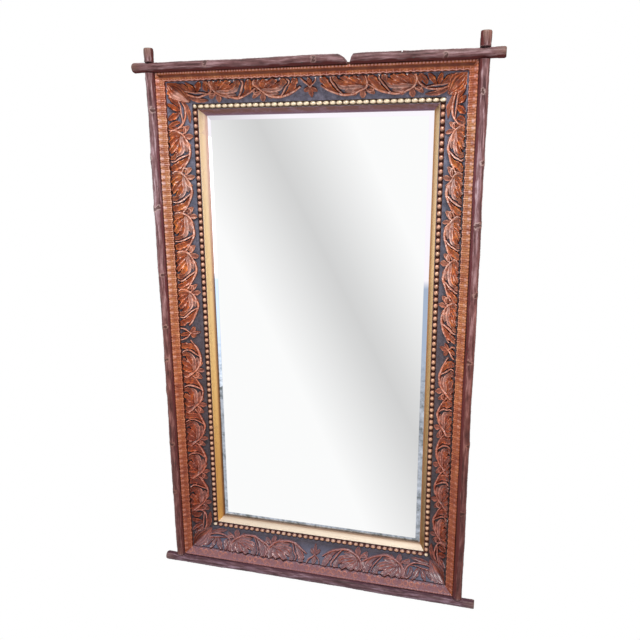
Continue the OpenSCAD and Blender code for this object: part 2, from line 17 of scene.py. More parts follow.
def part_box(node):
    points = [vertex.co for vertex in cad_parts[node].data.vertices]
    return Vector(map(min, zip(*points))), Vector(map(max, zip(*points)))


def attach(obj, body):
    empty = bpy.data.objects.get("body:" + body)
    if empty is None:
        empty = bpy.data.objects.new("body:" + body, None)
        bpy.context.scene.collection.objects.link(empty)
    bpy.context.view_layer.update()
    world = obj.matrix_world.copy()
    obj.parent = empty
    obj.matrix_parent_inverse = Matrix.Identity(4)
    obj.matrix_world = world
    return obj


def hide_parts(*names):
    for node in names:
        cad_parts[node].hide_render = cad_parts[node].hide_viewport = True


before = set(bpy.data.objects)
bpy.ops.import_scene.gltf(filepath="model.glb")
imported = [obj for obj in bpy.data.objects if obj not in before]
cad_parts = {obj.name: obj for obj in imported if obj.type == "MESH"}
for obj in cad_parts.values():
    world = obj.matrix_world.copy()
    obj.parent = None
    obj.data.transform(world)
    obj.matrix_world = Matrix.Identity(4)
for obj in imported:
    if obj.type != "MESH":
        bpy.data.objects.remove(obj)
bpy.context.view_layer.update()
MM = 0.001
print("construction loaded:", len(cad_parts), "nodes")

# %% [markdown]
# Every moulding runs round the glass, so places are given as a frame maker would: how far out from
# the edge of the visible glass, and how far towards the viewer. The half sizes of the glass and the
# plane of its edge are read from the construction.

# %% Measures of the frame
SIDES = ["top", "right", "bottom", "left"]
half_w = -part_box("slip_left")[1][0]
half_h = -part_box("slip_bottom")[1][2]
slip_lip = 3 * MM
edge_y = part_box("slip_top")[1][1] - slip_lip
half_length = dict(zip(SIDES, (half_w, half_h, half_w, half_h)))
edge_distance = dict(zip(SIDES, (half_h, half_w, half_h, half_w)))
print("visible glass", round(2 * half_w, 3), "by", round(2 * half_h, 3), "m")


# %% [markdown]
# Materials are small networks of nodes. `put` adds a node and fills its sockets with a number, a
# colour or a wire, so each finish below reads as a short recipe. The tree to add to is found from a
# material or from any wire in it. A colour is red, green and blue, and a single number is a grey.
# One helper lays a violet-grey painted reflection of the sky on faces that look up, mostly low on
# the frame. Another tints a colour along the height as painted light and shade: red and dark low
# down, paler higher up.

# %% Nodes and wires
def new_finish(name):
    mat = bpy.data.materials.new(name)
    mat.use_nodes = True
    return mat


def rgba(color):
    return (*color, 1) if isinstance(color, tuple) else (color, color, color, 1)


def wire(made, sockets):
    for key, value in sockets.items():
        socket = made.inputs[key]
        if isinstance(value, bpy.types.NodeSocket):
            made.id_data.links.new(value, socket)
        else:
            socket.default_value = rgba(value) if socket.type == "RGBA" else value
    return made


def put(owner, kind, sockets=(), **settings):
    tree = getattr(owner, "node_tree", None) or owner.id_data
    made = tree.nodes.new("ShaderNode" + kind)
    for key, value in settings.items():
        setattr(made, key, value)
    return wire(made, dict(sockets))


def any_wire(*values):
    return next(value for value in values if isinstance(value, bpy.types.NodeSocket))


# %% Helpers for materials
def surface(mat, color, roughness, bump=None, **more):
    sockets = {key.replace("_", " "): value for key, value in more.items()}
    if bump:
        height, strength, distance_mm = bump
        sockets["Normal"] = put(mat, "Bump", {"Height": height, "Strength": strength,
                                              "Distance": distance_mm * MM}).outputs["Normal"]
    wire(mat.node_tree.nodes["Principled BSDF"],
         {"Base Color": color, "Roughness": roughness, **sockets})
    return mat


def blend(share, first, second, mode="MIX"):
    return put(any_wire(share, first, second), "Mix", {0: share, 6: first, 7: second},
               data_type="RGBA", blend_type=mode).outputs[2]


def ramp(value, *stops):
    made = put(value, "ValToRGB", {"Fac": value})
    steps = made.color_ramp.elements
    while len(steps) < len(stops):
        steps.new(0.5)
    for step, (place, color) in zip(steps, stops):
        step.position, step.color = place, rgba(color)
    return made.outputs["Color"]


def scaled(value, start, end, low=0.0, high=1.0):
    return put(value, "MapRange", {"Value": value, "From Min": start, "From Max": end,
                                   "To Min": low, "To Max": high}).outputs["Result"]


def split(vector):
    return put(vector, "SeparateXYZ", {"Vector": vector}).outputs


def marks(mat, name="cut"):
    return split(put(mat, "Attribute", attribute_name=name).outputs["Vector"])


def object_axes(owner):
    return split(put(owner, "TexCoord").outputs["Object"])


def upward(owner):
    return split(put(owner, "NewGeometry").outputs["Normal"])["Z"]


def place_on(mat, scale=(1, 1, 1)):
    spot = put(mat, "TexCoord").outputs["Object"]
    return put(mat, "Mapping", {"Vector": spot, "Scale": scale}).outputs["Vector"]


def speckle(where, scale, detail=4, roughness=0.6):
    return put(where, "TexNoise", {"Vector": where, "Scale": scale, "Detail": detail,
                                   "Roughness": roughness}).outputs["Fac"]


# %% Painted sky sheen, painted light by height, and dress
# Painted reflection: faces that look up are tinted violet-grey like a sheen of the sky, strongest
# low on the frame.
def painted_sky_sheen(tone, strength, sheen_tone=(0.108, 0.088, 0.122)):
    low = scaled(object_axes(tone)["Z"], -0.62, -0.57, strength, 0.1 * strength)
    return blend(scaled(upward(tone), 0.15, 0.6, 0.0, low), tone, sheen_tone)


# Painted light and shade: a colour is multiplied by a tint that changes along the height.
def painted_light_by_height(mat, tone, *tints):
    bottom, top = -0.75, 0.75
    share = scaled(object_axes(mat)["Z"], bottom, top)
    tint = ramp(share, *[((z - bottom) / (top - bottom), color) for z, color in tints])
    return blend(1.0, tone, tint, "MULTIPLY")


def dress(mat, *names):
    for name in names:
        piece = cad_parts[name]
        piece.data.materials.clear()
        piece.data.materials.append(mat)


# %% [markdown]
# Boards are sawn along their length, so their grain is a noise stretched along one axis. One recipe
# serves dark stained boards and bare pine.

# %% Sawn and planed wood
def board_wood(name, along, pale, dark, roughness):
    mat = new_finish(f"{name} along {along}")
    stretch = [3 if axis == along else 60 for axis in "xyz"]
    fibres = speckle(place_on(mat, stretch), 6, 6, 0.65)
    cloud = speckle(place_on(mat), 5, 3)
    tone = ramp(fibres, (0.3, dark), (0.7, pale))
    aged = blend(ramp(cloud, (0.4, 0), (0.75, 0.55)), tone, dark)
    return surface(mat, aged, roughness, (fibres, 0.35, 0.4), Specular_IOR_Level=0.25)


stained = {axis: board_wood("stained board", axis, (0.115, 0.042, 0.024), (0.032, 0.012, 0.009),
                            0.55) for axis in "xz"}
pine = {axis: board_wood("bare pine", axis, (0.42, 0.26, 0.13), (0.22, 0.115, 0.05), 0.75)
        for axis in "xz"}
for side in SIDES:
    along = "x" if side in ("top", "bottom") else "z"
    dress(stained[along], "case_" + side)
    dress(pine[along], "base_" + side)
dress(pine["x"], "backboard_top", "backboard_middle", "backboard_bottom", "glass_blocks")
dress(pine["z"], "corner_blocks")
print("boards dressed")

# %% [markdown]
# The ground behind the carving and the band beside the beads are stippled slate paint: fine cells
# stand a little proud, some worn paler, and painted light makes the paint darker and redder low
# down and bluer and paler towards the top. Faces that look up also get a bluish painted reflection
# of the sky.

# %% Slate paint
def slate_paint():
    mat = new_finish("stippled slate paint")
    spot = place_on(mat)
    grains = put(mat, "TexVoronoi", {"Vector": spot, "Scale": 700}).outputs["Distance"]
    tone = ramp(speckle(spot, 90, 5, 0.7), (0.3, (0.024, 0.02, 0.024)),
                (0.55, (0.072, 0.066, 0.084)), (0.8, (0.15, 0.13, 0.145)))
    dotted = blend(ramp(grains, (0.15, 0.35), (0.6, 0)), tone, (0.14, 0.15, 0.18))
    # Painted light and shade: the slate is darker and redder low down, bluer and paler higher up.
    height_lit = painted_light_by_height(mat, dotted, (-0.42, (0.67, 0.54, 0.52)), (-0.14, (1.0, 0.77, 0.72)),
                      (0.14, (1.22, 1.14, 1.18)), (0.42, (1.32, 1.52, 1.75)),
                      (0.6, (2.0, 1.98, 2.2)))
    # Faces that look up get a bluish painted reflection of the sky.
    return surface(mat, painted_sky_sheen(height_lit, 0.8, (0.105, 0.108, 0.165)), 0.6, (grains, 0.5, 0.5),
                   Specular_IOR_Level=0.3)


dress(slate_paint(), *["cove_" + side for side in SIDES])
print("slate ground dressed")

# %% [markdown]
# The slips are gilded: gold leaf over red-brown clay. Leaf is metal, so its colour comes from what
# it reflects. Where it is rubbed, the clay shows in soft patches. Along the inner lip the clay
# colour is painted shade. The leaf is tinted as painted light: deep yellow low down, pale higher
# up, darker on the right slip, and darkest on the top slip, which faces down, as painted shade.

# %% Gold leaf
def gold_leaf(name, golds, clays, wear, shine, roughness):
    mat = new_finish(name)
    spot = place_on(mat)
    # Painted light and shade: leaf and clay are tinted along the height.
    gold = painted_light_by_height(mat, 1, *zip((-0.42, -0.14, 0.14, 0.42), golds))
    clay = painted_light_by_height(mat, 1, *zip((-0.42, 0.0, 0.42), clays))
    scuffs = speckle(spot, 260, 3)
    rubbing_and_glint = blend(0.3, speckle(spot, 28, 5, 0.65), scuffs)
    wear_and_sheen = ramp(rubbing_and_glint, (0.62 - wear, 0), (0.78 - wear, 1))
    # Painted shade: the clay colour is laid along the inner lip by the glass.
    inner_lip_shade = ramp(marks(mat)["X"], (0, 0.95), (0.13, 0.9), (0.24, 0.5), (0.4, 0.25),
                (0.55, 0.06), (0.9, 0), (1, 0.2))
    return surface(mat, blend(inner_lip_shade, blend(wear_and_sheen, gold, clay), clay), roughness,
                   (scuffs, 0.15, 0.3), Metallic=ramp(wear_and_sheen, (0, shine), (1, 0.2 * shine)))


# Each slip has its own copy of the leaf with its light painted in: the right slip darker, the
# bottom one dull and pale, the top one dark as painted shade.
slip_leaf = {
    "left": gold_leaf(
        "gold leaf of the left slip",
        [(0.76, 0.42, 0.12), (1.0, 0.66, 0.26), (1.0, 0.76, 0.38), (1.0, 0.78, 0.5)],
        [(0.26, 0.1, 0.03), (0.42, 0.19, 0.08), (0.66, 0.44, 0.36)], 0.05, 0.75, 0.34),
    "right": gold_leaf(
        "gold leaf of the right slip",
        [(0.27, 0.15, 0.05), (0.53, 0.31, 0.105), (0.58, 0.36, 0.14), (0.59, 0.41, 0.21)],
        [(0.38, 0.18, 0.07)] * 3, 0.05, 0.7, 0.36),
    "bottom": gold_leaf("gold leaf of the bottom slip", [(0.58, 0.495, 0.395)] * 4,
                        [(0.27, 0.17, 0.11)] * 3, 0.02, 0.35, 0.55),
    "top": gold_leaf("gold leaf of the top slip in painted shade", [(0.195, 0.085, 0.068)] * 4,
                     [(0.255, 0.15, 0.215)] * 3, 0.12, 0.6, 0.5),
}
print("gilding ready")

# %% [markdown]
# Metal parts at the back are dull from age: zinc-plated straps and rings, brass screws, iron nails.

# %% Dulled metal
def old_metal(name, bright, dull, roughness):
    mat = new_finish(name)
    spot = place_on(mat)
    tone = ramp(speckle(spot, 160, 5, 0.7), (0.35, bright), (0.7, dull))
    return surface(mat, tone, roughness, (speckle(spot, 900, 2), 0.2, 0.1), Metallic=0.9)


dress(old_metal("dulled steel", (0.42, 0.4, 0.37), (0.22, 0.2, 0.18), 0.42),
      "hanger_strap_right", "hanger_strap_left", "hanger_ring_right", "hanger_ring_left")
dress(old_metal("dulled brass", (0.62, 0.42, 0.16), (0.34, 0.2, 0.08), 0.4), "hanger_screws")
dress(old_metal("dark iron", (0.1, 0.085, 0.08), (0.045, 0.035, 0.03), 0.6),
      "twig_nails", "backboard_pins")
print("metal dressed")

# %% [markdown]
# The plate is silvered glass, flat and clean, with a ground bevel that shows as a narrow strip. Its
# colour is painted: the bright bevel strip, the white top and the cooler blue middle are painted
# reflections, and lower down the colour is mottled grey. The bevel is found by how close a point is
# to the edge of the visible glass.

# %% Silvered plate
bevel_show = 12 * MM


def maths(operation, *values):
    return put(any_wire(*values), "Math", dict(enumerate(values)), operation=operation).outputs[0]


def silvered_plate():
    mat = new_finish("silvered plate glass")
    axes = object_axes(mat)
    edge = maths("MINIMUM", *[maths("SUBTRACT", half, maths("ABSOLUTE", axes[axis]))
                              for axis, half in (("X", half_w), ("Z", half_h))])
    # Painted reflection: the bevel strip is painted white.
    bevel = scaled(edge, bevel_show, bevel_show + MM, 1.0, 0.0)
    spot = put(mat, "TexCoord").outputs["Object"]
    spots = blend(0.45, speckle(spot, 22, 4, 0.7), speckle(spot, 75, 3))
    mottle = ramp(spots, (0.38, (0.17, 0.19, 0.2)), (0.48, (0.36, 0.39, 0.44)),
                  (0.62, (0.56, 0.6, 0.68)))
    # Painted reflection: cool blue in the middle and white at the top.
    cool = blend(scaled(axes["Z"], -0.15, 0.0), mottle, (0.4, 0.48, 0.62))
    ground = blend(scaled(axes["Z"], 0.148, 0.17), cool, (0.97, 0.93, 0.99))
    return surface(mat, blend(bevel, (0.96, 0.965, 0.965), ground), 0.0, Metallic=1.0)


dress(silvered_plate(), "glass")
print("plate silvered")

# %% [markdown]
# New pieces start as a flat sheet, a grid with corners at -1 and 1. Solidify makes a closed slab of
# it, whose hidden underside needs only strips across, so its other edges are dissolved. Then the
# points are moved by a formula, as clay is pushed over a form. Numbers marked on the points tell
# the materials later how deep a place is, how near a rim and what tone it has, and from them the
# materials paint shade in low places and highlights on rims.

# %% Selecting and editing
def pick(*pieces):
    bpy.ops.object.select_all(action="DESELECT")
    for piece in pieces:
        piece.select_set(True)
    bpy.context.view_layer.objects.active = pieces[0]


@contextmanager
def editing(action=None):
    bpy.ops.object.mode_set(mode="EDIT")
    if action:
        bpy.ops.mesh.select_all(action=action)
    yield
    bpy.ops.object.mode_set(mode="OBJECT")


def apply(modifier):
    bpy.ops.object.modifier_apply(modifier=modifier.name)


def close_and_turn_out():
    bpy.ops.mesh.select_all(action="SELECT")
    bpy.ops.mesh.normals_make_consistent(inside=False)


# %% Helpers for sheets
def flat_sheet(name, along, across):
    bpy.ops.mesh.primitive_grid_add(x_subdivisions=along, y_subdivisions=across, size=2)
    bpy.context.object.name = name
    return bpy.context.object


def points_of(piece):
    flat = np.empty(len(piece.data.vertices) * 3)
    piece.data.vertices.foreach_get("co", flat)
    return flat.reshape(-1, 3)


def move_points(piece, *columns):
    piece.data.vertices.foreach_set("co", np.column_stack(columns).ravel())
    piece.data.update()


def mark_points(piece, name, *columns):
    layer = piece.data.attributes.new(name, "FLOAT_VECTOR", "POINT")
    count = len(piece.data.vertices)
    rows = np.column_stack([np.broadcast_to(column, count) for column in columns])
    layer.data.foreach_set("vector", rows.astype(float).ravel())


def slab(name, along, across, strips=True):
    piece = flat_sheet(name, along, across)
    thicken = piece.modifiers.new("thicken", "SOLIDIFY")
    thicken.thickness, thicken.offset = 1, -1
    apply(thicken)
    if strips:
        points = points_of(piece)
        ends = np.array([edge.vertices[:] for edge in piece.data.edges])
        first, last = points[ends[:, 0]], points[ends[:, 1]]
        lengthwise = np.abs(first[:, 0] - last[:, 0]) > 1e-4
        hidden = (first[:, 2] < -0.5) & (last[:, 2] < -0.5) & (np.abs(first[:, 1]) < 0.999)
        with editing("DESELECT"):
            bpy.ops.mesh.select_mode(type="EDGE")
        piece.data.edges.foreach_set("select", hidden & lengthwise)
        with editing():
            bpy.ops.mesh.dissolve_edges(use_verts=True)
    return piece


def slab_places(piece):
    """Share along, place across from -1 to 1, and whether a point lies on the underside."""
    flat = points_of(piece)
    return (flat[:, 0] + 1) / 2, flat[:, 1], flat[:, 2] < -0.5


# %% Joining and finishing
def join_all(name, pieces):
    pick(*pieces)
    if len(pieces) > 1:
        bpy.ops.object.join()
    made = bpy.context.object
    made.name = made.data.name = name
    return made


def finish_piece(piece, mat, node, angle):
    pick(piece)
    bpy.ops.object.shade_smooth_by_angle(angle=math.radians(angle))
    piece.data.materials.clear()
    piece.data.materials.append(mat)
    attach(piece, "frame")
    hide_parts(node)
    print(piece.name, len(piece.data.polygons), "faces")


# %% [markdown]
# A side of the frame is described lying flat: along the side, outwards from the glass, towards the
# viewer. `seat_on` turns it to be the top, right, bottom or left side. Three formulas shape most
# surfaces: `uneven` is smooth random waviness, `part` says how much of a width a value has crossed,
# and `hump` is a soft bump around zero.

# %% Helpers for sides and uneven surfaces
def seat_on(piece, side):
    lie = Matrix(((1, 0, 0), (0, 0, -1), (0, 1, 0))).to_4x4()
    lift = Matrix.Translation((0, edge_y, edge_distance[side]))
    turn = Matrix.Rotation(math.radians(90 * SIDES.index(side)), 4, "Y")
    piece.data.transform(turn @ lift @ lie)
    piece.data.update()
    return piece


def uneven(points, size, seed, waves=9):
    dice = np.random.default_rng(seed)
    total = np.zeros(len(points))
    for wave in range(waves):
        way = dice.normal(size=3)
        way *= 2 * math.pi / size * dice.uniform(0.6, 1.9) / np.linalg.norm(way)
        total += np.sin(points @ way + dice.uniform(0, 2 * math.pi))
    return total / math.sqrt(waves)


def part(value, width):
    return np.clip(value / width, 0, 1)


def hump(value, width, power=2):
    return np.exp(-(value / width) ** power)


def smooth_path(path, share):
    path = np.asarray(path, dtype=float)
    path = np.vstack([2 * path[0] - path[1], path, 2 * path[-1] - path[-2]])
    spot = np.clip(share, 0, 1) * (len(path) - 3)
    first = np.minimum(spot.astype(int), len(path) - 4)
    t = (spot - first)[:, None]
    a, b, c, d = (path[first + step] for step in range(4))
    return 0.5 * (2 * b + (c - a) * t + (2 * a - 5 * b + 4 * c - d) * t ** 2
                  + (3 * b - a - 3 * c + d) * t ** 3)


# %% [markdown]
# The carved vine lies in a scoop. Its shoots are modelled as if the scoop were rolled out flat:
# along the side, across the scoop, and up from the wood. `on_scoop` rolls them back onto the arc.

# %% The scoop
cove_in, cove_low = 37.2 * MM, 24 * MM
cove_w, cove_rise, cove_sag = 40 * MM, 37 * MM, 6 * MM
cove_out = cove_in + cove_w
cove_chord = math.hypot(cove_w, cove_rise)
cove_r = cove_chord ** 2 / (8 * cove_sag) + cove_sag / 2
half_turn = math.asin(cove_chord / 2 / cove_r)
cove_arc = 2 * cove_r * half_turn
cove_way = np.array((cove_w, cove_rise)) / cove_chord
cove_face = np.array((-cove_rise, cove_w)) / cove_chord
cove_centre = (np.array((cove_in, cove_low)) + np.array((cove_w, cove_rise)) / 2
               + cove_face * (cove_r - cove_sag))


def on_scoop(flat):
    turn = flat[:, 1] / cove_r - half_turn
    reach = (cove_r - flat[:, 2])[:, None]
    spot = cove_centre + reach * (np.sin(turn)[:, None] * cove_way
                                  - np.cos(turn)[:, None] * cove_face)
    return np.column_stack([flat[:, 0], spot])


def cove_level(out):
    return cove_centre[1] - np.sqrt(cove_r ** 2 - (out - cove_centre[0]) ** 2)


print("scoop arc", round(cove_arc / MM, 1), "mm")

# %% [markdown]
# A shoot or leaf follows a smooth path through a few stations: place along (a share of the repeat),
# place across (a share of the scoop), half width and height in mm. Its section is round like a
# stem, or cupped like a hollow leaf with a raised rim. Notches give a leaf its lobes. The marks of
# a point are its height, its nearness to a rim, and the tone of its shoot.

# %% Carving tools
repeat_length = 105.6 * MM
full_height, least_height = 7.5, 6.2
spread_across, toward_beads = 1.13, 0.07 * cove_arc
under_depth, under_spread = 0.4 * MM, 0.35 * MM


def carve(name, along, across, tone, section, lobes, notch, *stations, unit=repeat_length):
    piece = slab(name, along, across)
    share, v, below = slab_places(piece)
    off = np.abs(v)
    stations = np.array(stations, dtype=float) * (unit, cove_arc, MM, MM)
    stations[:, 1] = stations[:, 1] * spread_across - toward_beads
    here = smooth_path(stations, share)
    way = smooth_path(stations, share + 0.01) - smooth_path(stations, share - 0.01)
    way = way[:, :2] / np.linalg.norm(way[:, :2], axis=1)[:, None]
    aside = np.column_stack([-way[:, 1], way[:, 0]])
    half, height = np.maximum(here[:, 2], 0.2 * MM), np.maximum(here[:, 3], 0.5 * MM)
    swell = np.sin(math.pi * share) ** 0.5
    beat = np.abs(2 * ((share * lobes) % 1) - 1) if lobes else np.zeros(len(share))
    cut = notch * beat ** 2 * swell * off ** 2
    spot = here[:, :2] + aside * (half * (1 - cut) * v)[:, None]
    if section == "round":
        form, rim = np.sqrt(1 - (0.94 * v) ** 2), 1 - off
    else:
        spot += way * (0.35 * half * off ** 2)[:, None]
        form = 0.5 + 0.55 * off ** 2.2 - 0.32 * off ** 9
        form += 0.12 * hump(v, 0.16) - 0.12 * beat * (1 - off) * swell
        rim = off ** 3
    form *= 1 - 0.35 * cut
    spot += aside * (np.sign(v) * below * under_spread)[:, None]
    move_points(piece, spot, np.where(below, -under_depth, height * form))
    depth = np.maximum(height / MM, least_height) * form / full_height
    mark_points(piece, "cut", np.where(below, 0, np.clip(depth, 0, 1)), np.where(below, 0, rim),
                tone)
    return piece


# %% [markdown]
# One repeat: a stem swings down towards the beads and curls up over a bloom of fat lobes. A long
# hollow leaf and a thin tendril fill its first bend, and a small three-lobed leaf sits on the bead
# side. A row holds a name, the faces along and across, the tone, the section, the number and depth
# of the notches, and the stations.

# %% One repeat of the vine
REPEAT = [
    ("stem", 56, 6, 0.35, "round", 0, 0, [-0.5, 0.54, 2.6, 5], [-0.38, 0.38, 3.2, 5.8],
     [-0.22, 0.22, 3.8, 6.4], [-0.03, 0.11, 4.2, 6.6], [0.14, 0.13, 4, 6.4], [0.3, 0.24, 3.7, 6.2],
     [0.42, 0.42, 3.5, 6.2], [0.495, 0.66, 3.4, 6], [0.505, 0.85, 3.1, 5.4], [0.47, 1, 1.6, 3.6]),
    ("long leaf", 32, 12, 1, "cupped", 4, 0.25, [-0.13, 0.2, 1.8, 4.8], [-0.26, 0.36, 6.4, 6.8],
     [-0.33, 0.56, 8.6, 7.6], [-0.37, 0.76, 8.8, 7.2], [-0.39, 0.91, 7.4, 6.2],
     [-0.4, 1, 4.6, 4.4]),
    ("low leaf", 16, 6, 0.75, "cupped", 3, 0.2, [0.5, 0.3, 1.2, 3.2], [0.535, 0.5, 4.4, 4.2],
     [0.56, 0.72, 5, 4.6], [0.59, 0.99, 3.6, 3.6]),
    ("tendril", 28, 4, 0, "round", 0, 0, [-0.04, 0.13, 2, 5.4], [-0.11, 0.3, 2.6, 6.2],
     [-0.18, 0.5, 3, 6.6], [-0.235, 0.7, 2.8, 6.2], [-0.25, 0.86, 2.4, 5.4], [-0.23, 1, 1.8, 3.6]),
    ("back leaf", 18, 8, 0.7, "cupped", 3, 0.25, [-0.04, 0.52, 1.6, 4], [-0.12, 0.72, 6.4, 5.8],
     [-0.14, 0.88, 6.6, 5.6], [-0.13, 1, 4.6, 4.2]),
    # The lip and under lip have negative tones, which the finish paints pale as a reflection.
    ("lip", 30, 8, -0.8, "cupped", 2, 0.2, [0.45, 0.42, 1.6, 4.6], [0.3, 0.45, 5.2, 7],
     [0.12, 0.42, 6.4, 7.8], [-0.03, 0.48, 5.4, 7.4], [-0.14, 0.62, 1.2, 4]),
    ("under lip", 20, 8, -0.65, "cupped", 3, 0.25, [0.36, 0.27, 1, 3.6], [0.25, 0.29, 6, 6.6],
     [0.12, 0.28, 6.4, 6.8], [0, 0.24, 1, 4]),
    ("curl", 24, 4, 0.1, "round", 0, 0, [0.43, 0.38, 1.6, 4.6], [0.465, 0.27, 2.6, 5.8],
     [0.535, 0.235, 2.8, 6.2], [0.595, 0.31, 2.5, 5.8], [0.575, 0.43, 1.4, 4.4]),
    ("left lobe", 26, 12, 1, "cupped", 3, 0.25, [0.3, 0.5, 2.2, 5.4], [0.13, 0.56, 7.6, 7.8],
     [0, 0.66, 7.6, 7.6], [-0.1, 0.82, 1.4, 4]),
    ("middle lobe", 28, 12, 0.95, "cupped", 3, 0.25, [0.32, 0.52, 2.2, 5.4], [0.2, 0.7, 8.6, 8.2],
     [0.1, 0.86, 8.6, 7.6], [0.02, 1, 5.4, 4.8]),
    ("right lobe", 26, 12, 1, "cupped", 3, 0.25, [0.36, 0.5, 2, 5.4], [0.33, 0.7, 7.8, 8],
     [0.28, 0.87, 8, 7.4], [0.22, 1, 5.4, 4.8]),
    ("outer lobe", 20, 8, 0.8, "cupped", 2, 0.2, [0.39, 0.48, 1.6, 5], [0.42, 0.66, 5.6, 7],
     [0.42, 0.84, 6.2, 6.6], [0.38, 1, 4.6, 4.6]),
]


def make_repeat():
    cuts = [carve(*row) for row in REPEAT]
    root = (0.37, 0.34)
    for tip, bend in (((0.17, 0.06), -0.04), ((0.39, -0.05), 0), ((0.61, 0.09), 0.04)):
        middle = [(root[0] + tip[0]) / 2 + bend, (root[1] + tip[1]) / 2 + abs(bend)]
        cuts.append(carve("trefoil", 14, 8, 0.3, "cupped", 0, 0, [*root, 1.8, 5.2],
                          [*middle, 6.8, 7], [*tip, 1.8, 3.6]))
    return join_all("vine repeat", cuts)


repeat_model = make_repeat()
print("one repeat:", len(repeat_model.data.polygons), "faces")

# %% [markdown]
# In the middle of a side, where the two halves meet, sits a three-lobed leaf. Before the corner the
# last stem runs into the corner leaf, between small leaves near the groove and one beside the
# beads. Here places along are in millimetres.

# %% Middle leaf and last shoots
def make_middle():
    cuts = []
    for hand, place, bend in ((-1, 0.26, 0.38), (0, 0.04, 0.27), (1, 0.26, 0.38)):
        cuts.append(carve("lobe", 16, 10, 0.6, "cupped", 0, 0, [0, 0.54, 1.6, 5],
                          [hand * 9.5, bend, 5.6, 6.8], [hand * 15, place, 1, 3], unit=MM))
    for hand in (-1, 1):
        cuts.append(carve("stem", 18, 5, 0.2, "round", 0, 0, [0, 0.5, 1.8, 5],
                          [hand * 5, 0.62, 2.8, 5.8], [hand * 13, 0.78, 2.8, 5.6],
                          [hand * 17, 1, 1.6, 3.4], unit=MM))
    cuts.append(carve("bud", 16, 10, 0.95, "cupped", 2, 0.2, [0, 0.58, 1.4, 4.4],
                      [0, 0.76, 6.2, 6.8], [0, 1, 2.4, 3.6], unit=MM))
    return join_all("vine middle", cuts)


END = [
    ("last stem", 36, 6, 0.3, "round", 0, 0, [-36, 1, 2.2, 3.8], [-34, 0.55, 3, 5.6],
     [-16, 0.28, 3.4, 6.2], [14, 0.22, 3.4, 6.2], [36, 0.34, 2.6, 5]),
    ("inner stem", 26, 5, 0.1, "round", 0, 0, [-22, 0.34, 1.6, 4.6], [2, 0.4, 2.6, 5.8],
     [22, 0.43, 2.8, 5.8], [38, 0.5, 1.8, 4.6]),
    ("first V leaf", 22, 12, 1, "cupped", 3, 0.25, [7, 0.42, 1.6, 4.6], [0, 0.6, 7, 7.4],
     [-5, 0.8, 6.4, 6.8], [-12, 0.99, 2.2, 3.6]),
    ("second V leaf", 22, 12, 1, "cupped", 3, 0.25, [12, 0.42, 1.6, 4.6], [15, 0.62, 7, 7.4],
     [19, 0.8, 6.2, 6.8], [25, 0.98, 2.2, 3.6]),
    ("third V leaf", 18, 8, 0.85, "cupped", 2, 0.2, [20, 0.44, 1.6, 4.6], [28, 0.58, 5, 6.4],
     [34, 0.72, 4.4, 5.8], [39, 0.86, 1.2, 3.4]),
    ("bead-side leaf", 24, 10, 0.4, "cupped", 3, 0.2, [34, 0.22, 1.4, 4.4], [17, 0.11, 6, 6.8],
     [0, 0.06, 5.8, 6.6], [-20, 0.03, 1.2, 3]),
    ("groove leaf", 20, 10, 0.9, "cupped", 2, 0.2, [-28, 1, 2, 3.4], [-22, 0.8, 6, 6.4],
     [-19, 0.62, 5.8, 6.4], [-20, 0.44, 1.4, 4.4]),
    ("outer groove leaf", 18, 8, 0.8, "cupped", 2, 0.2, [-44, 1, 2, 3.2], [-43, 0.8, 4.8, 5.4],
     [-40, 0.6, 4.2, 5.2], [-36, 0.44, 1.2, 4]),
]


def make_end():
    return join_all("vine end", [carve(*row, unit=MM) for row in END])


middle_model, end_model = make_middle(), make_end()
print("middle and end modelled")

# %% [markdown]
# A side takes whole repeats, divided evenly over its length. Each copy gets its own mesh and its
# own small irregularity, because no carver cuts the same leaf twice. The second half is the mirror
# image of the first, and mirroring turns faces inside out, so they are flipped back.

# %% The vine of each side
vine_pitch, vine_end = 110 * MM, 62 * MM
dice = np.random.default_rng(7)


def copy_of(model):
    made = model.copy()
    made.data = model.data.copy()
    bpy.context.scene.collection.objects.link(made)
    return made


def placed_copy(model, start, stretch, hand):
    made = copy_of(model)
    seed = int(dice.integers(1e6))
    flat = points_of(made)
    flat[:, 0] = flat[:, 0] * stretch + start
    drawn, above = flat * (1, 1, 0), flat[:, 2] > 0
    flat[:, 0] += uneven(drawn, 60 * MM, seed) * 2.2 * MM
    flat[:, 1] += uneven(drawn, 50 * MM, seed + 1) * 1.1 * MM
    flat[:, 2] *= 1 + above * 0.09 * uneven(drawn, 26 * MM, seed + 2)
    flat[:, 2] += above * uneven(drawn, 9 * MM, seed + 3) * 0.18 * MM
    flat[:, 0] *= hand
    move_points(made, on_scoop(flat))
    if hand < 0:
        made.data.flip_normals()
    return made


def vine_of(side):
    room = half_length[side] - vine_end
    repeats = round(room / vine_pitch)
    pitch = room / repeats
    copies = [placed_copy(middle_model, 0, 1, 1)]
    for hand in (1, -1):
        copies += [placed_copy(repeat_model, (number + 0.7) * pitch, pitch / repeat_length, hand)
                   for number in range(repeats)]
        copies.append(placed_copy(end_model, half_length[side], 1, hand))
    return seat_on(join_all("carved_vine_" + side, copies), side)
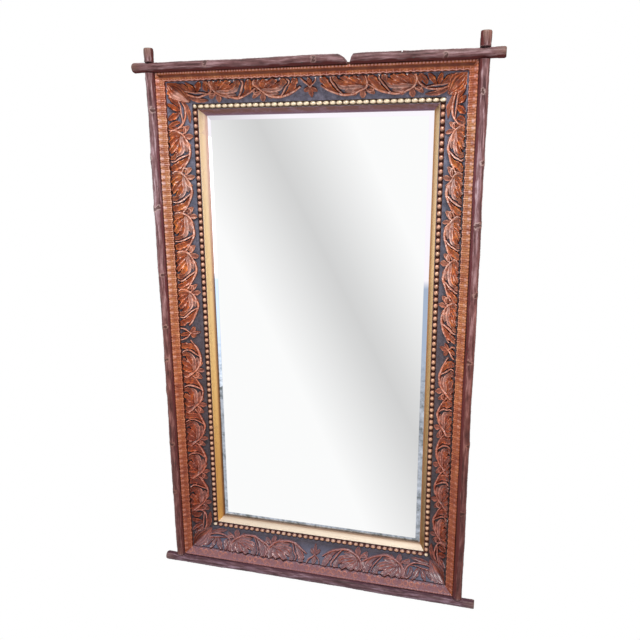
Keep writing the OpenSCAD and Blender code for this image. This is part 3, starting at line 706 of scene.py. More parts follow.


# %% [markdown]
# The carving is stained orange-brown and shellacked. Low places and undersides are darkened as
# painted shade, and rims and scattered high spots are painted pale pink as highlights. The tone of
# a shoot runs from 1, orange, over 0, rosy, to -1, where pale patches are painted as a reflection.
# Painted light along the height and a painted sky reflection on faces that look up are laid over
# it.

# %% Shellacked carving
def shellacked_carving():
    mat = new_finish("shellacked carving")
    spot = place_on(mat)
    rise, rim, tone = marks(mat)
    cloud = speckle(spot, 60, 5, 0.65)
    fine = speckle(spot, 420)
    patches = speckle(spot, 140, 4, 0.7)
    orange = ramp(cloud, (0.32, (0.17, 0.022, 0.006)), (0.5, (0.46, 0.082, 0.012)),
                  (0.68, (0.76, 0.2, 0.026)))
    rosy = ramp(cloud, (0.35, (0.22, 0.045, 0.026)), (0.65, (0.66, 0.26, 0.17)))
    wood = blend(tone, rosy, orange)
    # Painted highlight: rims are painted pale pink, less on orange leaves.
    wear_and_sheen = blend(ramp(fine, (0.35, 0), (0.65, 1)), 0, rim)
    rim_highlight = blend(tone, wear_and_sheen, 0.15, "MULTIPLY")
    pale = blend(ramp(rim_highlight, (0.1, 0), (0.8, 0.75)), wood, (0.8, 0.42, 0.31))
    # Painted highlight: scattered pale glints on high places.
    rubbing_and_glint = blend(1.0, ramp(patches, (0.48, 0), (0.6, 0.8)),
                   ramp(rise, (0.6, 0), (0.85, 1)), "MULTIPLY")
    # Painted reflection: shoots of negative tone get pale patches.
    bare_and_sheen = blend(1.0, scaled(tone, 0.0, -1.0, 0.0, 0.9),
                 ramp(patches, (0.36, 0.1), (0.62, 1)), "MULTIPLY")
    shown = blend(bare_and_sheen, pale, (0.86, 0.49, 0.42))
    lightest = blend(rubbing_and_glint, shown, (0.93, 0.63, 0.54))
    # Painted shade: low places and undersides are darkened.
    recess_shade = ramp(rise, (0.24, 0.97), (0.5, 0.5), (0.74, 0))
    # Painted light and shade along the height.
    height_lit = painted_light_by_height(mat, lightest, (-0.55, (0.6, 0.44, 0.46)), (-0.48, (0.6, 0.39, 0.35)),
                      (-0.3, (0.66, 0.45, 0.4)), (-0.14, (0.88, 0.74, 0.68)),
                      (0.14, (1.1, 1.12, 1.11)), (0.42, (0.99, 1.18, 1.28)),
                      (0.6, (1.03, 1.0, 0.98)))
    full = painted_sky_sheen(blend(recess_shade, height_lit, (0.03, 0.008, 0.006)), 0.62, (0.13, 0.092, 0.118))
    return surface(mat, full, 0.4, (fine, 0.45, 0.5), Specular_IOR_Level=0.25, Coat_Weight=0.3,
                   Coat_Roughness=0.16)


carved_wood = shellacked_carving()
for side in SIDES:
    finish_piece(vine_of(side), carved_wood, "carving_" + side, 50)

# %% [markdown]
# A long leaf is folded over each mitre and hides the joint. Its fold lies in the valley between two
# sides, and ribs fan out from its blunt foot at the beads to its tip near the outer corner. The
# upright half of the top left leaf is smoothed, and its pale colour is a painted reflection.

# %% Corner leaves
fold_round, foot_slope = 1.6 * MM, 0.28


def corner_leaf(hand, level):
    piece = slab("corner_leaf", 44, 28, strips=False)
    share, v, below = slab_places(piece)
    off = np.abs(v)
    form = smooth_path([[-0.1, 2.0, 3], [0.06, 8.5, 4.6], [0.24, 15, 5.4], [0.44, 18.5, 5.8],
                        [0.62, 15.2, 5.6], [0.8, 8.2, 5], [0.99, 0.8, 3]], share)
    middle = cove_in + cove_w * form[:, 0]
    half = np.minimum(np.maximum(form[:, 1], 0.4) * MM, cove_out - middle + 0.5 * MM)
    scallop = 1 - 0.07 * (1 - np.cos(share * 2 * math.pi * 7)) * off ** 3
    out = half * v * scallop
    reach = middle + (np.sqrt(out ** 2 + fold_round ** 2) - fold_round * hump(out, 4 * MM))
    ground = np.where(reach < cove_in, cove_low - (cove_in - reach) * foot_slope,
                      cove_level(np.clip(reach, cove_in, cove_out)))
    sweep = off - 0.35 * share
    ribs = 0.95 * np.cos(sweep * 2 * math.pi * 3.2 + 0.6) * part(off * 4, 1) ** 0.5
    upright = 0.5 + 0.5 * np.tanh(out / (1.2 * MM))
    # The upright half of the top left leaf is smoothed, and its tone mark makes the finish paint it
    # pale as a reflection.
    wear_and_sheen = (upright * (0.95 if (hand, level) == (-1, 1) else 0)
            * part(0.72 - share, 0.2) * part(0.85 - off, 0.2))
    ribs = ribs * (1 - 0.75 * wear_and_sheen)
    lift = form[:, 2] * (1 - 0.35 * off ** 4) + ribs * np.sin(math.pi * np.clip(share, 0.05, 0.95))
    rise = np.where(below, -0.5, lift + 0.9 * hump(v, 0.07)) * MM
    move_points(piece, hand * (half_w + middle + out), edge_y - ground - rise,
                level * (half_h + middle - out))
    if hand * level > 0:
        piece.data.flip_normals()
    in_shade = upright if level < 0 else (1 - upright) * (0.75 if hand < 0 else 0.35)
    mark_points(piece, "cut", np.where(below, 0, (0.66 + 0.3 * ribs) * (1 - 0.4 * in_shade)),
                np.where(below, 0, np.clip(ribs * 0.9, wear_and_sheen, 1)), 0.85 - 1.5 * wear_and_sheen)
    return piece


for corner, hand, level in (("top_right", 1, 1), ("bottom_right", 1, -1),
                            ("bottom_left", -1, -1), ("top_left", -1, 1)):
    leaf = join_all("folded_leaf_" + corner, [corner_leaf(hand, level)])
    finish_piece(leaf, carved_wood, "corner_leaf_" + corner, 50)
for model in (repeat_model, middle_model, end_model):
    bpy.data.objects.remove(model)

# %% [markdown]
# The outer moulding is a slope of pointed leaves under a beaded ridge. Its section is a closed
# line, and a sheet is rolled along it and merged at its seam. The slope swells into leaves by
# formula, and both ends are cut and capped by bisecting at the mitres. The sides differ in shape
# and in painted light: fine reeds and pale blocks with painted highlights on the upright ones, a
# hollow behind free tips at the top that is painted dark as shade, and pale rings of painted
# highlight in a bluish painted sky reflection at the bottom. Gaps between leaves, the groove and
# the right ridge are painted darker as shade.

# %% Rolled bars
mitre_spare, seam = 4 * MM, 0.01 * MM


def rolled_bar(name, section, side, reach, step):
    half_span = half_length[side] + reach + mitre_spare
    section = np.vstack([section, section[:1]])
    rounds = len(section) - 1
    piece = flat_sheet(name, round(2 * half_span / step), rounds)
    flat = points_of(piece)
    order = np.rint((1 - flat[:, 1]) / 2 * rounds).astype(int)
    move_points(piece, flat[:, 0] * half_span, section[order])
    with editing("SELECT"):
        bpy.ops.mesh.remove_doubles(threshold=seam)
    return piece


def cut_mitres(piece, side):
    pick(piece)
    with editing():
        for hand in (1, -1):
            bpy.ops.mesh.select_all(action="SELECT")
            bpy.ops.mesh.bisect(plane_co=(hand * half_length[side], 0, 0), plane_no=(hand, -1, 0),
                                use_fill=True, clear_outer=True)
        close_and_turn_out()
    return piece


# %% Leaf mouldings
leaf_in, leaf_out = 80.4 * MM, 100.4 * MM
groove_high, leaf_low, slope_high, ridge_high = 61 * MM, 65 * MM, 75.6 * MM, 77 * MM
ridge_in, ridge_over = leaf_out - 3.4 * MM, 1.3 * MM
leaf_pitch, tooth_pitch = 16 * MM, 8 * MM


def leaf_section():
    slope = [[leaf_in + (ridge_in - leaf_in) * q, leaf_low + (slope_high - leaf_low) * q]
             for q in np.linspace(0, 1, 21)]
    top = [[ridge_in + 0.5 * MM, ridge_high - 0.3 * MM], [ridge_in + 1.3 * MM, ridge_high],
           [leaf_out, ridge_high], [leaf_out + 0.9 * MM, ridge_high - 0.4 * MM]]
    back = [[leaf_out + ridge_over, ridge_high - 1.5 * MM],
            [leaf_out + ridge_over, ridge_high - 4.8 * MM],
            [leaf_out, ridge_high - 5.2 * MM], [leaf_out, groove_high]]
    return np.array([[leaf_in, groove_high]] + slope + top + back)


def leaf_moulding(side):
    piece = rolled_bar("leaf_tips_" + side, leaf_section(), side, leaf_out, 1.0 * MM)
    points = points_of(piece)
    s, w, d = points.T
    q = (w - leaf_in) / (ridge_in - leaf_in)
    on_slope = (q > -0.001) & (q < 1.001) & (d > groove_high + 3 * MM)
    off = np.abs(2 * ((s / leaf_pitch + 0.5) % 1) - 1)
    gap_mm = (1 - off) * leaf_pitch / 2 / MM
    tip = {"top": 0.15, "bottom": 0.28}.get(side, 0.14) * off ** 1.3
    inside = part(q - tip + 0.03, 0.07)
    rim = hump(q - tip - 0.07, 0.06) * part(0.62 - q, 0.1)
    keel = hump(off, 0.13) * part(0.58 - q, 0.2)
    next_leaf = hump(gap_mm, 1.3) * (part(0.6 - q, 0.1) * part(q - 0.02, 0.1)) * 0.9
    # On the top the hollow is cut deeper and painted dark as shade.
    recess = (1.0 if side == "top" else 0.1) * hump(q - 0.72, 0.22, 4)
    reeds = 0.5 + 0.5 * np.cos(s / (leaf_pitch / 3) * 2 * math.pi)
    leaf = inside * (0.7 * rim + 0.6 * keel - 0.4) + (1 - inside) * (-1.5 + next_leaf)
    leaf = np.where(q > 0.66, -0.2, leaf) - 2.9 * recess
    if side != "top":
        leaf += 0.8 * (reeds - 0.5) * part(q - tip - 0.1, 0.1)
    leaf += uneven(points, 7 * MM, 31 + SIDES.index(side)) * 0.16
    lift = np.where(on_slope, leaf * part(1 - q, 0.05), 0) * MM
    slope = np.array((ridge_in - leaf_in, slope_high - leaf_low))
    slope /= np.linalg.norm(slope)
    w += -slope[1] * lift * 0.6
    d += slope[0] * lift
    teeth = 0.5 + 0.5 * np.cos(s / tooth_pitch * 2 * math.pi + 2 * uneven(points, 90 * MM, 12))
    on_ridge = (w > ridge_in + 0.2 * MM) & (d > ridge_high - 0.6 * MM)
    d += np.where(on_ridge, (teeth ** 0.5 - 1) * 0.9 * MM, 0)
    w[:] = np.clip(w, leaf_in, leaf_out + ridge_over)
    move_points(piece, points)
    # Painted shade: the rise mark is kept low in the gaps between leaves, in the top hollow,
    # towards the inner edge of the slope, at the foot by the groove and on the right ridge, and the
    # finish darkens low rises.
    notch = 0.6 if side == "top" else 0.4
    rise = np.where(on_slope, inside * (0.66 + 0.4 * rim + 0.3 * keel) + (1 - inside) * notch, 0.9)
    shaded = 0.84 + 0.16 * part(q - 0.2, 0.3)
    rise = np.where(on_slope, rise * (1 - 0.6 * recess) * shaded, rise)
    rise = np.where(on_ridge, (0.55 + 0.45 * teeth) * (0.78 if side == "right" else 1), rise)
    rise = np.where(d < groove_high + 3 * MM, 0.12, rise)
    # Painted highlights: the bright mark lights rims, keels, reeds, blocks, ridge teeth and the
    # rings at the bottom, less on the right; the haze mark is a bluish painted sky reflection at
    # the bottom.
    bright, sky_haze = inside * (rim + 0.7 * keel), 0
    if side != "top":
        block = part(0.62 - off, 0.24) * (0.65 + 0.3 * uneven(points, 40 * MM, 77))
        rise = np.where(on_slope, rise * (0.74 + 0.12 * reeds + 0.14 * block), rise)
        crest = part(q - 0.6, 0.2)
        bright = inside * (0.35 * rim + 0.2 * keel + 0.35 * reeds + 0.7 * crest * block)
        teeth = np.clip(0.3 * teeth + 0.8 * block, 0, 1) * (0.5 if side == "right" else 1)
    if side == "bottom":
        loops = 1.2 * hump(np.hypot(off, (q - 0.5) / 0.45) - 0.72, 0.26) * inside
        loops = np.clip(loops * (0.7 + 0.5 * uneven(points, 30 * MM, 78)), 0, 1)
        bright = np.maximum(0.4 * bright, loops)
        rise = np.where(on_slope, rise * (0.6 + 0.4 * loops), rise)
        sky_haze = 0.55 - 0.45 * loops
    bright = np.where(on_slope, bright, np.where(on_ridge, 0.2 + 0.6 * teeth, 0))
    mark_points(piece, "cut", rise, bright, sky_haze)
    return seat_on(cut_mitres(piece, side), side)


# %% Shellacked mouldings
def moulding_finish():
    mat = new_finish("shellacked moulding")
    spot = place_on(mat)
    rise, bright, sky_haze = marks(mat)
    wood = ramp(speckle(spot, 45, 5, 0.7), (0.32, (0.24, 0.045, 0.016)),
                (0.5, (0.43, 0.12, 0.034)), (0.68, (0.58, 0.23, 0.08)))
    # Painted highlights where the bright mark is high, painted shade where the rise is low.
    pale = blend(ramp(bright, (0.2, 0), (0.9, 0.75)), wood, (0.79, 0.44, 0.35))
    recess_shade = ramp(rise, (0.15, 0.95), (0.45, 0.5), (0.7, 0))
    # Painted light and shade along the height.
    height_lit = painted_light_by_height(mat, pale, (-0.42, (0.75, 0.55, 0.5)), (-0.14, (1.0, 0.82, 0.72)),
                      (0.14, (1.14, 1.24, 1.35)), (0.42, (1.15, 1.48, 1.85)),
                      (0.55, (1.15, 1.45, 1.8)), (0.63, (1.0, 0.94, 1.08)))
    # Painted sky reflection: bluish where the haze mark is high.
    bluish = blend(sky_haze, blend(recess_shade, height_lit, (0.085, 0.014, 0.007)), (0.27, 0.145, 0.185))
    return surface(mat, painted_sky_sheen(bluish, 0.25), 0.42, (speckle(spot, 380), 0.35, 0.4),
                   Specular_IOR_Level=0.2, Coat_Weight=0.15, Coat_Roughness=0.18)


moulded_wood = moulding_finish()
for side in SIDES:
    finish_piece(leaf_moulding(side), moulded_wood,
                 "leaf_moulding_" + side, 55)

# %% [markdown]
# The slip is a narrow gilt moulding over the edge of the glass: a thin rounded lip, a slope scooped
# very slightly, and a flat back edge.

# %% Gilt slips
slip_w, slip_rise = 14 * MM, 17 * MM


def slip_section():
    slope = [[2.2 + 10.6 * q, 2.0 + 14.4 * q - 4.4 * q * (1 - q)] for q in np.linspace(0, 1, 11)]
    return np.array([[0, -3], [0, 0.5], [0.4, 1.3], [1.1, 1.7], [1.8, 1.5]] + slope
                    + [[13.2, 17], [14, 17], [14, -3]]) * MM


for side in SIDES:
    bar = rolled_bar("slip", slip_section(), side, slip_w, 14 * MM)
    across, up = points_of(bar)[:, 1:].T
    mark_points(bar, "cut", across / slip_w, up / slip_rise, 0)
    bar = join_all("gilt_slip_" + side, [seat_on(cut_mitres(bar, side), side)])
    finish_piece(bar, slip_leaf[side], "slip_" + side, 30)

# %% [markdown]
# A row of gilt beads runs round inside the slate band, on a strip with a raised fillet on both
# sides. One bead is modelled from a ball with few faces, because it repeats more than two hundred
# times. Only the crown of each bead shows gold: its sides, its ends and the faces that look down
# are painted shade in the dark colour of the channel, with less shade at the ends on the top row.
# The top row gets a paler, painted-lit copy of the gilding. A few beads, always the one in the
# corner, are paler.

# %% Bead rows
bead_in, bead_out, bead_floor, strip_top = 15.2 * MM, 28.2 * MM, 12 * MM, 17 * MM
bead_mid, bead_axis = (bead_in + bead_out) / 2, 18.38 * MM
bead_pitch, bead_d, bead_stretch = 16.85 * MM, 11.5 * MM, 1.22


def make_bead():
    bpy.ops.mesh.primitive_uv_sphere_add(segments=12, ring_count=8, radius=bead_d / 2)
    bead = bpy.context.object
    turned = points_of(bead)[:, [2, 0, 1]] * (bead_stretch, 1, 1)
    move_points(bead, turned)
    spare = np.abs(turned[:, 0]) / (bead_d / 2 * bead_stretch)
    mark_points(bead, "cut", 1 - spare ** 2, turned[:, 2] / bead_d + 0.5, spare)
    return bead


def bead_row(side, bead):
    # The top row gets longer beads and less painted shade at their ends.
    drawn_out, end_shade = (1.2, 0.5) if side == "top" else (1.0, 1.0)
    room = 2 * (half_length[side] + bead_mid)
    count = round(room / bead_pitch)
    section = np.array([[bead_in, bead_floor], [bead_in, strip_top], [bead_in + 1 * MM, strip_top],
                        [bead_in + 2 * MM, strip_top - 1.6 * MM], [bead_mid, strip_top - 2.2 * MM],
                        [bead_out - 2 * MM, strip_top - 1.6 * MM], [bead_out - 1 * MM, strip_top],
                        [bead_out, strip_top], [bead_out, bead_floor]])
    strip = rolled_bar("strip", section, side, bead_out, 12 * MM)
    mark_points(strip, "cut", 0, 0, 0)
    pieces = [cut_mitres(strip, side)]
    for number in range(1, count + 1):
        ball = copy_of(bead)
        points = points_of(ball) * dice.uniform(0.96, 1.03) * (drawn_out, 1, 1)
        place = room * (number / count - 0.5) + dice.normal() * 0.2 * MM
        move_points(ball, points + (place, bead_mid, bead_axis))
        parts = np.zeros(3 * len(points), dtype=np.float32)
        ball.data.attributes["cut"].data.foreach_get("vector", parts)
        parts[::3] = 1 - (1 - parts[::3]) * end_shade
        parts[2::3] = 0.8 if number == count else 0.35 * dice.random() ** 16
        ball.data.attributes["cut"].data.foreach_set("vector", parts)
        pieces.append(ball)
    return seat_on(join_all("gilt_beads_" + side, pieces), side)


# %% Gilding of the beads
def bead_gilding(name, dark_gold, pale_gold, channel, shade_from, shade_to):
    mat = new_finish(name)
    crown, across, paler = marks(mat)
    rubbing_and_glint = speckle(place_on(mat), 240, 3)
    violet = (0.86, 0.8, 0.9)
    # Painted light: the gold is tinted violet on the upper part of the sides.
    gold = painted_light_by_height(mat, ramp(rubbing_and_glint, (0.35, dark_gold), (0.65, pale_gold)),
                     (-0.1, 1), (0.4, violet), (0.59, violet), (0.6, 1))
    # Painted shade: faces that look down are darkened.
    underside_shade = blend(scaled(upward(mat), shade_from, shade_to, 0.9, 0.0),
                  blend(paler, gold, (0.98, 0.84, 0.62)), (0.1, 0.05, 0.016))
    # Painted shade: only the crown of each bead keeps its gold, the sides and ends take the dark
    # channel colour.
    lit_crown = blend(1.0, ramp(crown, (0.2, 0), (0.55, 1)),
                  ramp(across, (0.5, 0.12), (0.88, 1)), "MULTIPLY")
    return surface(mat, painted_sky_sheen(blend(lit_crown, channel, underside_shade), 0.55),
                   ramp(lit_crown, (0, 0.85), (1, 0.4)), (rubbing_and_glint, 0.2, 0.3),
                   Metallic=ramp(lit_crown, (0, 0), (1, 0.45)))


# A lit and a shaded copy of the bead gilding: the top row gets the paler, painted-lit one, the
# other rows the darker one.
shaded_bead_gilding = bead_gilding("rubbed gold on beads", (0.54, 0.26, 0.15), (0.76, 0.46, 0.3),
                            (0.095, 0.02, 0.01), -0.75, 0.05)
lit_bead_gilding = bead_gilding("pale gold on the top beads", (0.88, 0.68, 0.45), (1.0, 0.88, 0.67),
                            (0.2, 0.12, 0.07), -0.95, -0.35)
one_bead = make_bead()
for side in SIDES:
    finish_piece(bead_row(side, one_bead), lit_bead_gilding if side == "top" else shaded_bead_gilding,
                 "beads_" + side, 60)
bpy.data.objects.remove(one_bead)

# %% [markdown]
# The outer sticks are real shoots with their bark on: a little crooked, swollen at old knots, and
# rebated over the edge of the case. A sheet is rolled into a tube, closed at its ends and roughened
# by formula. Rebates, crossings, the break and the nick are cut out. The bark has pale streaks,
# dark cracks along the grain, and knots with a pale rim round a dark eye. The flank beside the
# moulding is wine red, partly darker inner bark and partly painted shade with the red of the
# moulding reflected in it, so its width differs from side to side. The outer flank of the right
# shoot is redder than the rest, and the bark is tinted along the height as painted light and shade.
# A knot is its place along in mm, the way it looks in degrees, and its height in mm.

# %% Measures and knots of the sticks
twig_r, twig_high, case_high = 12 * MM, 77 * MM, 71 * MM
case_half_w, case_half_h = half_w + 108.9 * MM, half_h + 108.9 * MM
twig_at = leaf_out + 2 * MM + twig_r
twig_x, twig_z = half_w + twig_at, half_h + twig_at
twig_over, twig_axis = 46 * MM, edge_y - twig_high
lap, flat_seat = twig_r + 1.2 * MM, 2.5 * MM
KNOTS = {
    "top": [[-257, 60, 1.3], [-330, 200, 1], [20, 80, 0.9], [330, 110, 1.1]],
    "right": [[621, 70, 1.4], [466, 150, 2.2], [321, 60, 1.6], [323, 150, 1.6], [156, 140, 1.8],
              [-14, 80, 1.7], [-238, 150, 1.9], [-430, 100, 1.4]],
    "bottom": [[-340, 300, 1.2], [-46, 280, 1.6], [158, 290, 1.8], [330, 270, 1.3]],
    "left": [[600, 120, 1.4], [481, 25, 2.2], [350, 45, 2.4], [353, 130, 1.8], [172, 130, 1.7],
             [25, 85, 1.8], [-70, 75, 1.6], [-164, 20, 2.0], [-326, 90, 1.6], [-480, 60, 1.5]],
}
# How far round each shoot the wine-red painted shade reaches, set per side.
WINE_SHADE_EDGE = {"top": 0.5, "right": 0.38, "bottom": 0.78, "left": 0.76}
SWAY_SEED = {"top": 40, "right": 200, "bottom": 110, "left": 310}
knot_reach, eye_reach, eye_depth, greatest_r = 9.5, 3.6, 0.9, 13.05
print("knots:", {side: len(rows) for side, rows in KNOTS.items()})


# %% A tube of bark
def sine(degrees):
    return np.sin(np.radians(degrees))


def bark_tube(side, low, high):
    around = 40
    piece = flat_sheet("bark_stick_" + side, round((high - low) / (2.4 * MM)), around)
    flat = points_of(piece)
    u = low + (high - low) * (flat[:, 0] + 1) / 2
    turn = np.rint((1 - flat[:, 1]) / 2 * around).astype(int) % around * 360 / around
    u_mm, seed = u / MM, SWAY_SEED[side]
    half = max(abs(low), abs(high))
    ring = np.column_stack([u, twig_r * sine(turn), twig_r * sine(turn + 90)])
    r = 12 * (0.965 + 0.05 * (np.abs(u) / half) ** 6)
    r += 0.22 * sine(u_mm * 2.3 + turn * 2 + seed) + 0.16 * sine(u_mm * 5.1 - turn * 3 + seed * 2)
    scar = np.zeros(len(u))
    crooked = u_mm + 2.6 * uneven(ring, 9 * MM, seed + 3)
    for place, toward, height in KNOTS[side]:
        facing = np.maximum(0, sine(turn - toward + 90))
        near = hump(crooked - place, knot_reach) * facing
        r += height * near
        eye = hump(crooked - place, eye_reach) * facing ** 3
        r -= eye_depth * eye
        scar += near * 0.5 + eye
    drawn = ring * (0.18, 1, 1)
    r += 0.30 * uneven(drawn, 5 * MM, seed) + 0.22 * uneven(ring, 7 * MM, seed + 1)
    sway = 0.7 * sine(u_mm * 0.55 + seed) + 0.4 * sine(u_mm * 1.37 + seed * 3)
    end = np.minimum(u - low, high - u) / MM
    r *= np.where(end < 0.1, 0.86, np.where(end < 2.4, 0.96, 1))
    inward = sine(turn - (180 if side in ("top", "left") else 0) + 90)
    room = 1.8 if side in ("left", "right") else 0
    r = np.minimum(r, greatest_r + room * np.maximum(0, -inward))
    up = (r * sine(turn + 90) + sway) * MM
    if side == "bottom":
        up = np.maximum(up, -12.9 * MM)
    move_points(piece, u, -r * MM * sine(turn), up)
    edge = WINE_SHADE_EDGE[side] + 0.12 * uneven(drawn, 9 * MM, seed + 2)
    reddish = 0
    if side == "right":
        edge -= np.interp(u, [-0.5, 0.05], [0.2, 0])
        reddish = part(-inward - 0.35, 0.4)
    mark_points(piece, "cut", scar, np.clip(1 - end / 30, 0, 1), end < 0.6)
    # Painted shade: the wine mark covers the flank beside the moulding.
    mark_points(piece, "wine_shade", part(inward - edge, 0.16), reddish, 0)
    mark_points(piece, "grain", *(ring * (0.09, 1, 1)).T)
    with editing("SELECT"):
        bpy.ops.mesh.remove_doubles(threshold=seam)
        bpy.ops.mesh.fill_holes(sides=0)
        close_and_turn_out()
    return piece


# %% Tools that cut
def take_away(piece, block):
    mark_points(block, "cut", 0, 0.2, 1.0)
    pick(piece)
    cut = piece.modifiers.new("cut", "BOOLEAN")
    cut.operation, cut.solver, cut.object = "DIFFERENCE", "EXACT", block
    apply(cut)
    bpy.data.objects.remove(block)


def cut_box(piece, low, high):
    bpy.ops.mesh.primitive_cube_add(size=1)
    block = bpy.context.object
    low, high = np.array(low), np.array(high)
    move_points(block, points_of(block) * (high - low) + (low + high) / 2)
    take_away(piece, block)


def cut_ragged(piece, place, low, outline):
    """Cut a drawn outline (across, up, in mm) out of a shoot, with ragged walls."""
    depth, layers, jitter = 60 * MM, 24, 0.55 * MM
    bpy.ops.mesh.primitive_circle_add(vertices=len(outline), fill_type="NGON")
    block = bpy.context.object
    across, up = np.array(outline).T * MM
    move_points(block, across, 0 * across, up)
    with editing():
        for layer in range(layers):
            bpy.ops.mesh.select_mode(type="FACE")
            bpy.ops.mesh.extrude_region_move(
                TRANSFORM_OT_translate={"value": (0, -depth / layers, 0)})
        close_and_turn_out()
    points = points_of(block)
    points[:, 0] += uneven(points, 9 * MM, 5) * jitter
    points[:, 2] += uneven(points, 7 * MM, 6) * jitter
    move_points(block, points + (0, depth / 2, 0)
                + (place * MM, twig_axis, twig_z - twig_r + low * MM))
    take_away(piece, block)


# %% Bark sticks
def stick(side):
    if side in ("top", "bottom"):
        piece = bark_tube(side, -twig_x - twig_over, twig_x + twig_over)
        stand = Matrix.Translation((0, twig_axis, twig_z if side == "top" else -twig_z))
    else:
        piece = bark_tube(side, -(twig_z - twig_r + flat_seat), twig_z + twig_over)
        place = Matrix.Translation((twig_x if side == "right" else -twig_x, twig_axis, 0))
        stand = place @ Matrix.Rotation(math.radians(-90), 4, "Y")
    piece.data.transform(stand)
    piece.data.update()
    return piece


def shape_stick(side):
    piece = stick(side)
    for x in (twig_x, -twig_x):
        if side == "top":
            cut_box(piece, (x - lap, twig_axis, twig_z - lap),
                    (x + lap, twig_axis + 3 * lap, twig_z + lap))
        elif side == "bottom":
            cut_box(piece, (x - lap, twig_axis - 2 * lap, -twig_z + twig_r - flat_seat),
                    (x + lap, twig_axis + 2 * lap, -twig_z + 3 * lap))
        elif (side == "right") == (x > 0):
            cut_box(piece, (x - 2 * lap, twig_axis - 3 * lap, twig_z - lap),
                    (x + 2 * lap, twig_axis, twig_z + lap))
    if side == "top":
        cut_ragged(piece, 104, 0.6, [[-3.4, 0], [-5, 5], [-7.5, 9], [-12, 15], [-19, 19.6],
                                     [-28, 24], [-40, 36], [16, 36], [12, 22], [8.5, 14],
                                     [5.5, 7], [3.0, 0]])
        cut_ragged(piece, 229, 18, [[-0.5, 0], [-1.6, 4], [-3, 14], [4.8, 14], [2.2, 4], [0.5, 0]])
    cut_box(piece, (-case_half_w, edge_y - case_high, -case_half_h),
            (case_half_w, edge_y - case_high + 30 * MM, case_half_h))
    return piece


# %% Smooth bark
def bark():
    mat = new_finish("smooth bark")
    spot = place_on(mat)
    scar, peel, end = marks(mat)
    wine_shade, reddish, _ = marks(mat, "wine_shade")
    drawn = put(mat, "Attribute", attribute_name="grain").outputs["Vector"]
    streaks = speckle(drawn, 190, 5, 0.65)
    skin = ramp(blend(0.6, speckle(spot, 16, 5, 0.7), streaks),
                (0.34, (0.045, 0.014, 0.013)), (0.5, (0.135, 0.06, 0.062)),
                (0.64, (0.27, 0.155, 0.17)))
    flecked = blend(ramp(streaks, (0.52, 0), (0.66, 0.6)), skin, (0.36, 0.235, 0.245))
    cracked = blend(ramp(streaks, (0.36, 0.75), (0.44, 0)), flecked, (0.035, 0.012, 0.014))
    eye = ramp(scar, (0.42, (0.25, 0.15, 0.14)), (0.62, (0.34, 0.22, 0.2)),
               (0.92, (0.05, 0.02, 0.016)))
    knotted = blend(ramp(scar, (0.22, 0), (0.5, 0.75)), cracked, eye)
    bare_and_sheen = blend(ramp(peel, (0, 0), (1, 0.5)), knotted, (0.22, 0.12, 0.085))
    # Painted light and shade along the height; the upper part of the top shoot is painted darker.
    height_lit = painted_light_by_height(
        mat, bare_and_sheen, (-0.692, (0.82, 0.88, 1.05)), (-0.69, (0.72, 0.46, 0.39)),
        (-0.42, (0.75, 0.48, 0.41)), (-0.14, (1.15, 0.82, 0.66)), (0.14, (1.32, 1.2, 1.13)),
        (0.42, (1.65, 1.95, 2.05)), (0.68, (1.3, 1.4, 1.4)), (0.69, (0.98, 0.96, 0.96)),
        (0.702, (0.93, 0.91, 0.91)), (0.71, (0.76, 0.74, 0.74)), (0.718, (0.68, 0.66, 0.66)),
        (0.722, (1.2, 1.3, 1.3)))
    # Wine red of the inner flank, partly bark colour and partly painted shade with the moulding's
    # red reflected, tinted along the height.
    wine_shade_colour = painted_light_by_height(mat, (0.1, 0.021, 0.018), (-0.7, (0.5, 1.5, 2.8)), (-0.685, (0.9, 1.2, 1.6)),
                     (-0.66, 1), (0.1, (1.15, 1.2, 1.5)), (0.45, (1.35, 1.9, 2.7)),
                     (0.69, (0.9, 0.9, 1)))
    warm = blend(reddish, height_lit, (0.93, 0.7, 0.62), "MULTIPLY")
    cut_end = blend(end, blend(wine_shade, warm, wine_shade_colour), (0.1, 0.055, 0.035))
    relief = blend(0.6, speckle(spot, 240, 5, 0.7), streaks)
    return surface(mat, cut_end, ramp(wine_shade, (0, 0.5), (1, 0.95)), (relief, 0.6, 0.8),
                   Specular_IOR_Level=0.25)


bark_skin = bark()
for side in SIDES:
    finish_piece(shape_stick(side), bark_skin, "twig_" + side, 45)

# %% [markdown]
# The photograph was taken by someone standing to the right and looking a little down. The camera
# stands where it stood: its place and directions were worked out from the corners of the frame, and
# its lens from how fast the sides draw together.

# %% Camera
camera_place = Vector((0.46333, -1.70046, 0.48497))
camera_right = Vector((0.96556, 0.2601, -0.00617))
camera_up = Vector((-0.05757, 0.23672, 0.96987))

camera_data = bpy.data.cameras.new("camera")
camera_data.lens, camera_data.sensor_width = 36.84, 36
camera_data.sensor_fit = "HORIZONTAL"
camera = bpy.data.objects.new("camera", camera_data)
bpy.context.scene.collection.objects.link(camera)
right = camera_right.normalized()
up = (camera_up - camera_up.dot(right) * right).normalized()
turned = Matrix((right, up, right.cross(up))).transposed()
camera.matrix_world = Matrix.Translation(camera_place) @ turned.to_4x4()
bpy.context.scene.camera = camera
print("camera at", [round(v, 3) for v in camera_place])

# %% [markdown]
# The mirror hangs, so the floor lies well below it. The photograph has a plain white background, so
# floor and sky are white where the camera, glass or metal sees them, while the light they give
# stays plain. The glass reflects a soft grey band: all that lies near one plane through the middle,
# found by a dot product.

# %% Floor
bpy.context.scene.view_settings.view_transform = "Standard"
floor_z = -1.05
band_normal = (0.8485, -0.2903, 0.4425)
bpy.ops.mesh.primitive_plane_add(size=30, location=(0, 0, floor_z))
floor = bpy.context.object
floor.name = "floor"


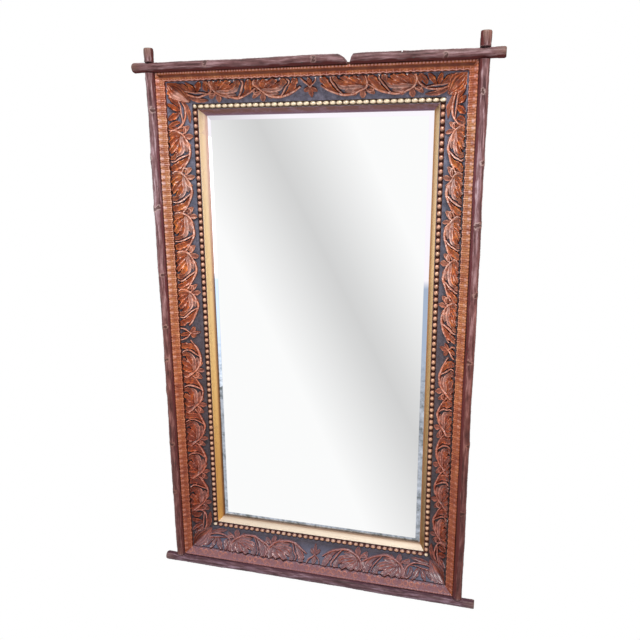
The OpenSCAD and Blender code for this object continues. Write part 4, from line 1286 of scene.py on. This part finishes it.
def by_ray(tree, ray, other, chosen):
    seen = put(tree, "LightPath").outputs[ray]
    return put(tree, "MixShader", {0: seen, 1: other, 2: chosen}).outputs[0]


paint = surface(new_finish("pale floor"), 0.8, 0.9)
painted = by_ray(paint, "Is Camera Ray", paint.node_tree.nodes["Principled BSDF"].outputs[0],
                 put(paint, "Emission", {"Color": 1}).outputs[0])
painted = by_ray(paint, "Is Glossy Ray", painted, put(paint, "BsdfTransparent").outputs[0])
wire(paint.node_tree.nodes["Material Output"], {"Surface": painted})
floor.data.materials.append(paint)
print("floor at", floor_z)

# %% Sky
sky = bpy.data.worlds.new("sky")
bpy.context.scene.world = sky
sky.use_nodes = True
direction = put(sky, "TexCoord").outputs["Generated"]
across = put(sky, "VectorMath", {0: direction, 1: band_normal}, operation="DOT_PRODUCT")
away = maths("ABSOLUTE", across.outputs["Value"])
light = ramp(split(direction)["Z"], (0, 0.24), (0.25, 0.36), (1, 1))
band = ramp(away, (0, 0.67), (0.025, 0.72), (0.075, 0.86), (0.125, 1))
lit = wire(sky.node_tree.nodes["Background"], {"Color": light})
mirrored = put(sky, "Background", {"Color": band})
shown = put(sky, "Background", {"Color": 1})
by_gloss = by_ray(sky, "Is Glossy Ray", lit.outputs[0], mirrored.outputs[0])
wire(sky.node_tree.nodes["World Output"],
     {"Surface": by_ray(sky, "Is Camera Ray", by_gloss, shown.outputs[0])})
print("sky wired")


# %% Lamps
def soft_lamp(name, place, size, power, color):
    lamp = bpy.data.lights.new(name, "AREA")
    lamp.shape, lamp.size, lamp.energy, lamp.color = "DISK", size, power, color
    made = bpy.data.objects.new(name, lamp)
    made.location = place
    made.rotation_euler = (-Vector(place)).to_track_quat("-Z", "Y").to_euler()
    bpy.context.scene.collection.objects.link(made)


soft_lamp("window light", (0.5, -1.6, 2.6), 1.2, 88, (1, 0.98, 0.96))
soft_lamp("fill light", (-2.4, -2.2, -0.3), 2.0, 10, (0.93, 0.96, 1))
print("two lamps lit")

# %% [markdown]

# %% End
print("script finished")
